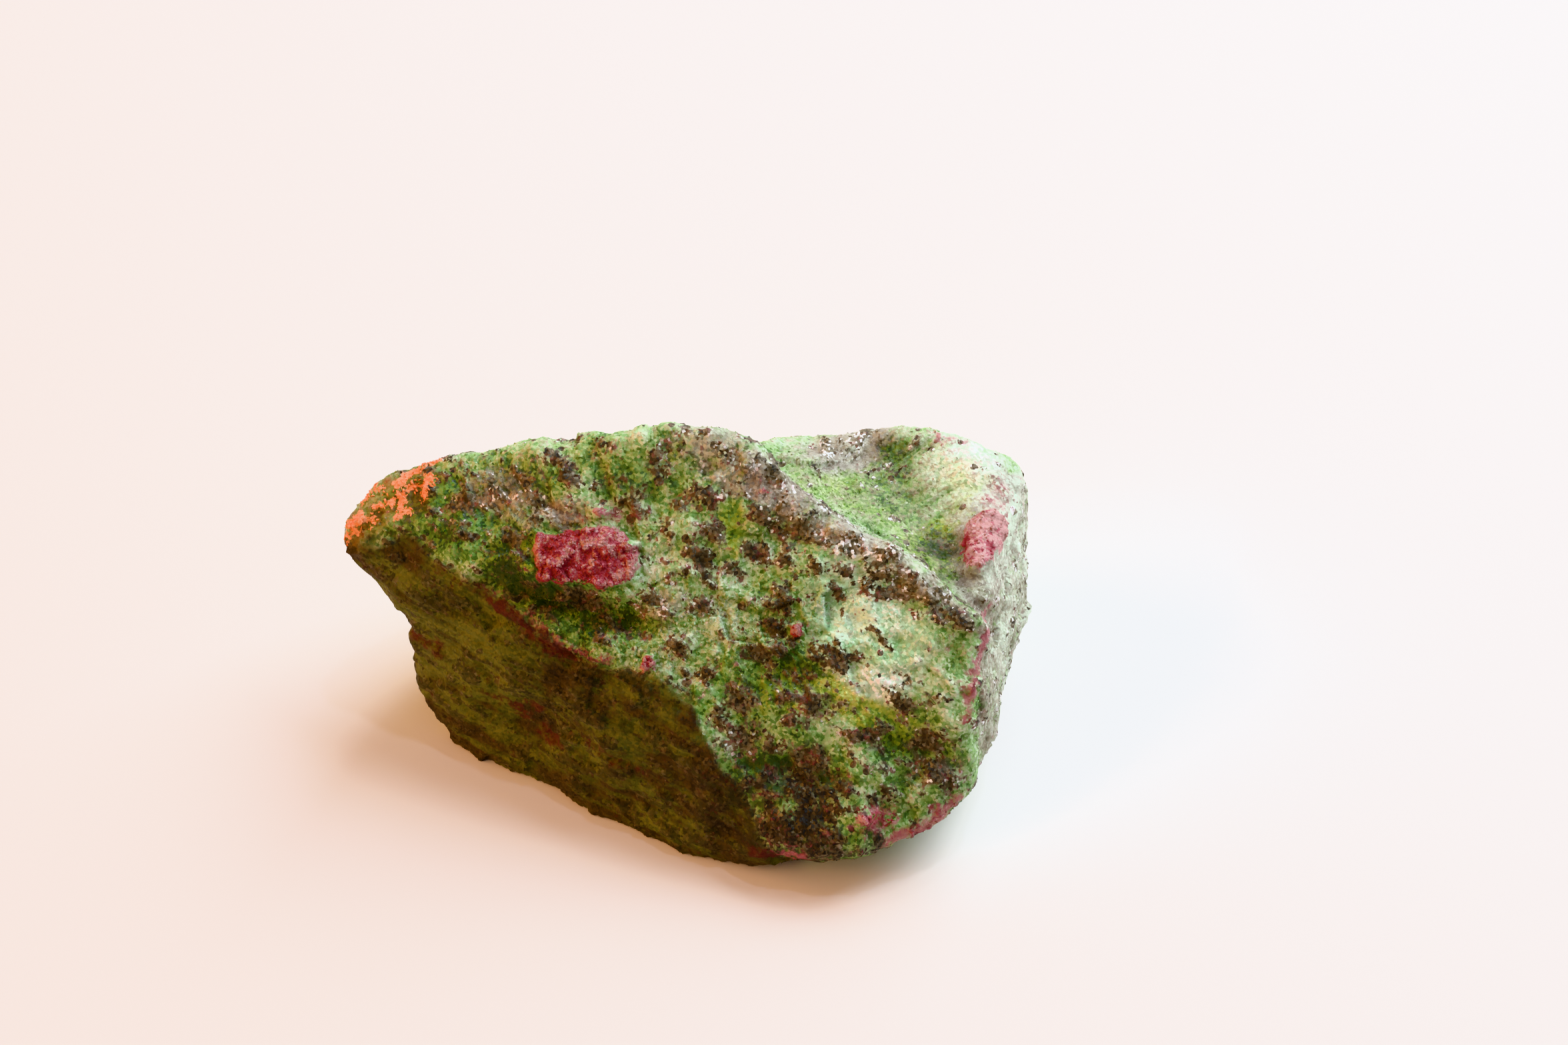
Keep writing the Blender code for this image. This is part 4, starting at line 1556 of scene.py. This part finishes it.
    def crusted(self, p: Patterns, colour: Any) -> tuple[Any, Any]:
        """Lay on the crust: pale flakes painted coral as warm lamp light, with painted highlights on their
        lighter tops.

        Args:
            p: The shared patterns.
            colour: The rock below.

        Returns:
            The colour with it, and how much of it there is.
        """
        flaky = p.add("Math", {0: p.patchy, 1: 3.4, 2: -1.80}, **FUSED)
        for name in ("crust", "flake"):
            flaky = p.add("Math", {0: p.at[name], 1: flaky}, operation="ADD")
        crust = p.add("MapRange", {0: flaky, 1: -0.05, 2: 0.08}, **SOFT)
        lamp_glow = p.add("ValToRGB", {0: p.patchy}, stops=((0.4, Shade.LAMPLIT_CORAL), (0.7, Shade.CORAL_PAINTED_HIGHLIGHT)))
        return p.add("Mix", {0: crust, MIX_A: colour, MIX_B: lamp_glow}, MIX_OUT, **COLOUR), crust

    def gloss(self, p: Patterns, crust: Any) -> Any:
        """How matt each grain is: one in eight shows a clean glossy face, and so do some crystals.

        Args:
            p: The shared patterns.
            crust: How much crust there is.

        Returns:
            The roughness.
        """
        clean = p.add("Math", {0: p.at["foliated"], 1: -0.07, 2: p.grain["Blue"]}, **FUSED)
        glint = p.add("MapRange", {0: clean, 1: 0.88, 2: 0.90, 3: self.rough, 4: self.glossy})
        lone = p.add("Math", {0: p.at["tone"], 1: 0.5, 2: 0.5}, **FUSED)
        lone = p.add("MapRange", {0: lone, 1: 0.82, 2: 0.87, 3: 1.0, 4: 0.22})
        gloss = p.add("Math", {0: glint, 1: lone}, operation="MULTIPLY")
        dull = p.add("Math", {0: p.at["foliated"], 1: 0.7, 2: crust}, use_clamp=True, **FUSED)
        return p.add("Mix", {0: dull, 2: gloss, 3: self.matt}, 0, data_type="FLOAT")

    def facets(self, p: Patterns) -> Any:
        """Tilt each grain as a flat facet of its own, and roughen it with the patches.

        The height is the way from the grain's middle, along the grain's random direction.

        Args:
            p: The shared patterns.

        Returns:
            The normal.
        """
        away = p.add("VectorMath", {0: p.mm, 1: p.grains.node.outputs["Position"]}, operation="SUBTRACT")
        tilt = p.add("VectorMath", {0: p.grains, 1: (0.5, 0.5, 0.5)}, operation="SUBTRACT")
        plane = p.add("VectorMath", {0: away, 1: tilt}, "Value", operation="DOT_PRODUCT")
        lumps = p.add("Math", {0: p.patchy, 1: 0.35, 2: plane}, **FUSED)
        return p.add("Bump", {"Strength": 0.8, "Distance": MM, "Height": lumps})

    def build(self) -> bpy.types.Material:
        """Make the material, layer over layer.

        Returns:
            The rock's material.
        """
        wiring = new_wiring("broken_ruby_in_zoisite")
        p = self.patterns(wiring.add)
        pale = self.paleness(p)
        horn, haze = self.hornblende(p)
        colour = self.dusted(p, self.zoisite(p, pale), pale, haze)
        colour = self.clotted(p, self.foliated(p, colour), horn)
        colour = self.rubied(p, self.reddened(p, colour))
        colour, crust = self.crusted(p, colour)
        looks = {
            "Base Color": colour,
            "Roughness": self.gloss(p, crust),
            "IOR": self.ior,
            "Specular IOR Level": self.shine,
            "Normal": self.facets(p),
        }
        wiring.add("OutputMaterial", {"Surface": wiring.add("BsdfPrincipled", looks)})
        return wiring.material


@dataclass(frozen=True)
class PaleFloor:
    """A sheet of matt white card, which gives back a soft white with no shine."""

    half_width_m: float = 1.6

    def build(self) -> bpy.types.Object:
        """Make the floor, a flat square at the resting height.

        Returns:
            The floor's object.
        """
        w = self.half_width_m
        mesh = bpy.data.meshes.new("pale_floor")
        mesh.from_pydata([(-w, -w, 0.0), (w, -w, 0.0), (w, w, 0.0), (-w, w, 0.0)], [], [(0, 1, 2, 3)])
        wiring = new_wiring("matt_white_card")
        card = wiring.add("BsdfPrincipled", {"Base Color": Shade.PALE_PAPER, "Roughness": 0.9})
        wiring.add("OutputMaterial", {"Surface": card})
        mesh.materials.append(wiring.material)
        obj = bpy.data.objects.new("pale_floor", mesh)
        bpy.context.scene.collection.objects.link(obj)
        return obj


@dataclass(frozen=True)
class SoftLight:
    """One soft square light that looks at the stone.

    Attributes:
        name: What it stands for.
        toward: The way from the stone to it.
        distance_m: How far away it is.
        side_m: The side of its square.
        watts: Its power.
        shade: Its colour.
    """

    name: str
    toward: Triple
    distance_m: float
    side_m: float
    watts: float
    shade: Shade

    def build(self) -> bpy.types.Object:
        """Make the light and turn it to the stone.

        Returns:
            The light's object.
        """
        data = bpy.data.lights.new(self.name, "AREA")
        data.shape = "SQUARE"
        data.size = self.side_m
        data.energy = self.watts
        data.color = linear(self.shade)[:3]
        obj = bpy.data.objects.new(self.name, data)
        obj.location = Vector(self.toward).normalized() * self.distance_m
        obj.rotation_euler = obj.location.to_track_quat("Z", "Y").to_euler()
        bpy.context.scene.collection.objects.link(obj)
        return obj


@dataclass(frozen=True)
class Studio:
    """A window behind on the right, a warm lamp on the left, and the light of a pale room."""

    lights: tuple[SoftLight, ...] = (
        SoftLight("window", (0.47, 0.52, 0.69), 0.55, 0.48, 6.5, Shade.WINDOW_LIGHT),
        SoftLight("skylight", (0.15, 0.12, 0.97), 1.3, 0.05, 1.2, Shade.SKY_LIGHT),
        SoftLight("warm_lamp", (-0.92, -0.12, 0.30), 0.8, 0.8, 9.0, Shade.LAMP_LIGHT),
        SoftLight("bulb", (-0.70, -0.30, 0.65), 0.7, 0.03, 0.2, Shade.LAMP_LIGHT),
    )
    room_strength: float = 0.34

    def build(self) -> None:
        """Make the lights and the room's even glow."""
        for light in self.lights:
            light.build()
        world = bpy.data.worlds.new("pale_room")
        world.use_nodes = True
        glow = world.node_tree.nodes["Background"]
        glow.inputs["Color"].default_value = linear(Shade.ROOM_LIGHT)
        glow.inputs["Strength"].default_value = self.room_strength
        bpy.context.scene.world = world
        bpy.context.scene.view_settings.view_transform = "Khronos PBR Neutral"
        bpy.context.scene.view_settings.look = "None"


@dataclass(frozen=True)
class CloseUpCamera:
    """A camera on the front side that looks down at the stone.

    Attributes:
        elevation: Its angle above the horizon, in degrees.
        place: Where it is.
        lens: Its focal length on a sensor 36 mm wide.
    """

    elevation: float = 48.0
    place: Triple = (9.8, -262.0, 320.3)
    lens: float = 90.0

    def build(self) -> bpy.types.Object:
        """Make the camera and give it to the scene.

        Returns:
            The camera's object.
        """
        data = bpy.data.cameras.new("close_up")
        data.lens = self.lens
        data.sensor_width = 36.0
        data.clip_start = 0.01
        obj = bpy.data.objects.new("close_up", data)
        obj.location = Vector(self.place) * MM
        obj.rotation_euler = (math.radians(90.0 - self.elevation), 0.0, 0.0)
        bpy.context.scene.collection.objects.link(obj)
        bpy.context.scene.camera = obj
        return obj


@dataclass(frozen=True)
class Specimen:
    """The stone and the crystals that stand in it."""

    hornblende: Crystals = Crystals(
        "hornblende_crystals", 3000, 6, ((0.75, 0.75), (-0.75, 0.75)), 0.9, (0.12, 0.28), (0.9, 1.4), 0.92, 11
    )
    zoisite: Crystals = Crystals(
        "zoisite_grains", 12000, 4, ((0.55, 0.85), (-0.55, 0.85)), 0.75, (0.11, 0.25), (0.8, 1.5), 0.60, 12
    )
    crust: Crystals = Crystals(
        "crust_flakes", 420, 6, ((0.25, 0.95), (-0.25, 0.95)), 0.35, (0.12, 0.30), (0.8, 1.2), 0.35, 14, 1.0
    )
    ruby: Crystals = Crystals(
        "ruby_crystals", 1200, 6, ((0.6, 0.8), (-0.6, 0.8)), 0.85, (0.12, 0.28), (0.9, 1.4), 0.65, 13
    )

    def dress(self, obj: bpy.types.Object, material: bpy.types.Material) -> None:
        """Give a piece its material and its body, and report it.

        Args:
            obj: The piece.
            material: What it is made of.
        """
        obj.data.materials.append(material)
        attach(obj, "root")
        log.info("%s: %d faces", obj.name, len(obj.data.polygons))

    def build(self) -> None:
        """Make the stone, then its crystals."""
        rock = BrokenRock().build()
        stone = RoughStone()
        skin = stone.build()
        skin.data.shade_smooth()
        self.dress(skin, rock)
        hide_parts(STONE_NODE)
        at = stone.fields
        bare = (1.0 - at["resting"]) * (stone.points[:, 2] > BARE_RIM)
        clear = bare * (at["ruby"] < -0.2) * (at["crust"] < -0.2)
        smooth_face = 1.0 - FEWER_ON_FOLIATED * at["foliated"]
        dark = clear * smooth_step(at["hornblende"], -0.1, 0.3)
        self.dress(self.hornblende.build(stone, dark * smooth_face), rock)
        sugar = clear * (at["hornblende"] < 0.0) * smooth_face
        self.dress(self.zoisite.build(stone, sugar), rock)
        self.dress(self.ruby.build(stone, bare * smooth_step(at["ruby"], 0.1, 0.3)), rock)
        self.dress(self.crust.build(stone, bare * smooth_step(at["crust"], -0.15, 0.15)), rock)


def main() -> None:
    """Build the specimen, the floor, the lights and the camera, in that order."""
    logging.basicConfig(level=logging.INFO, format="%(name)s: %(message)s")
    Specimen().build()
    PaleFloor().build()
    Studio().build()
    CloseUpCamera().build()


if __name__ == "__main__":
    main()
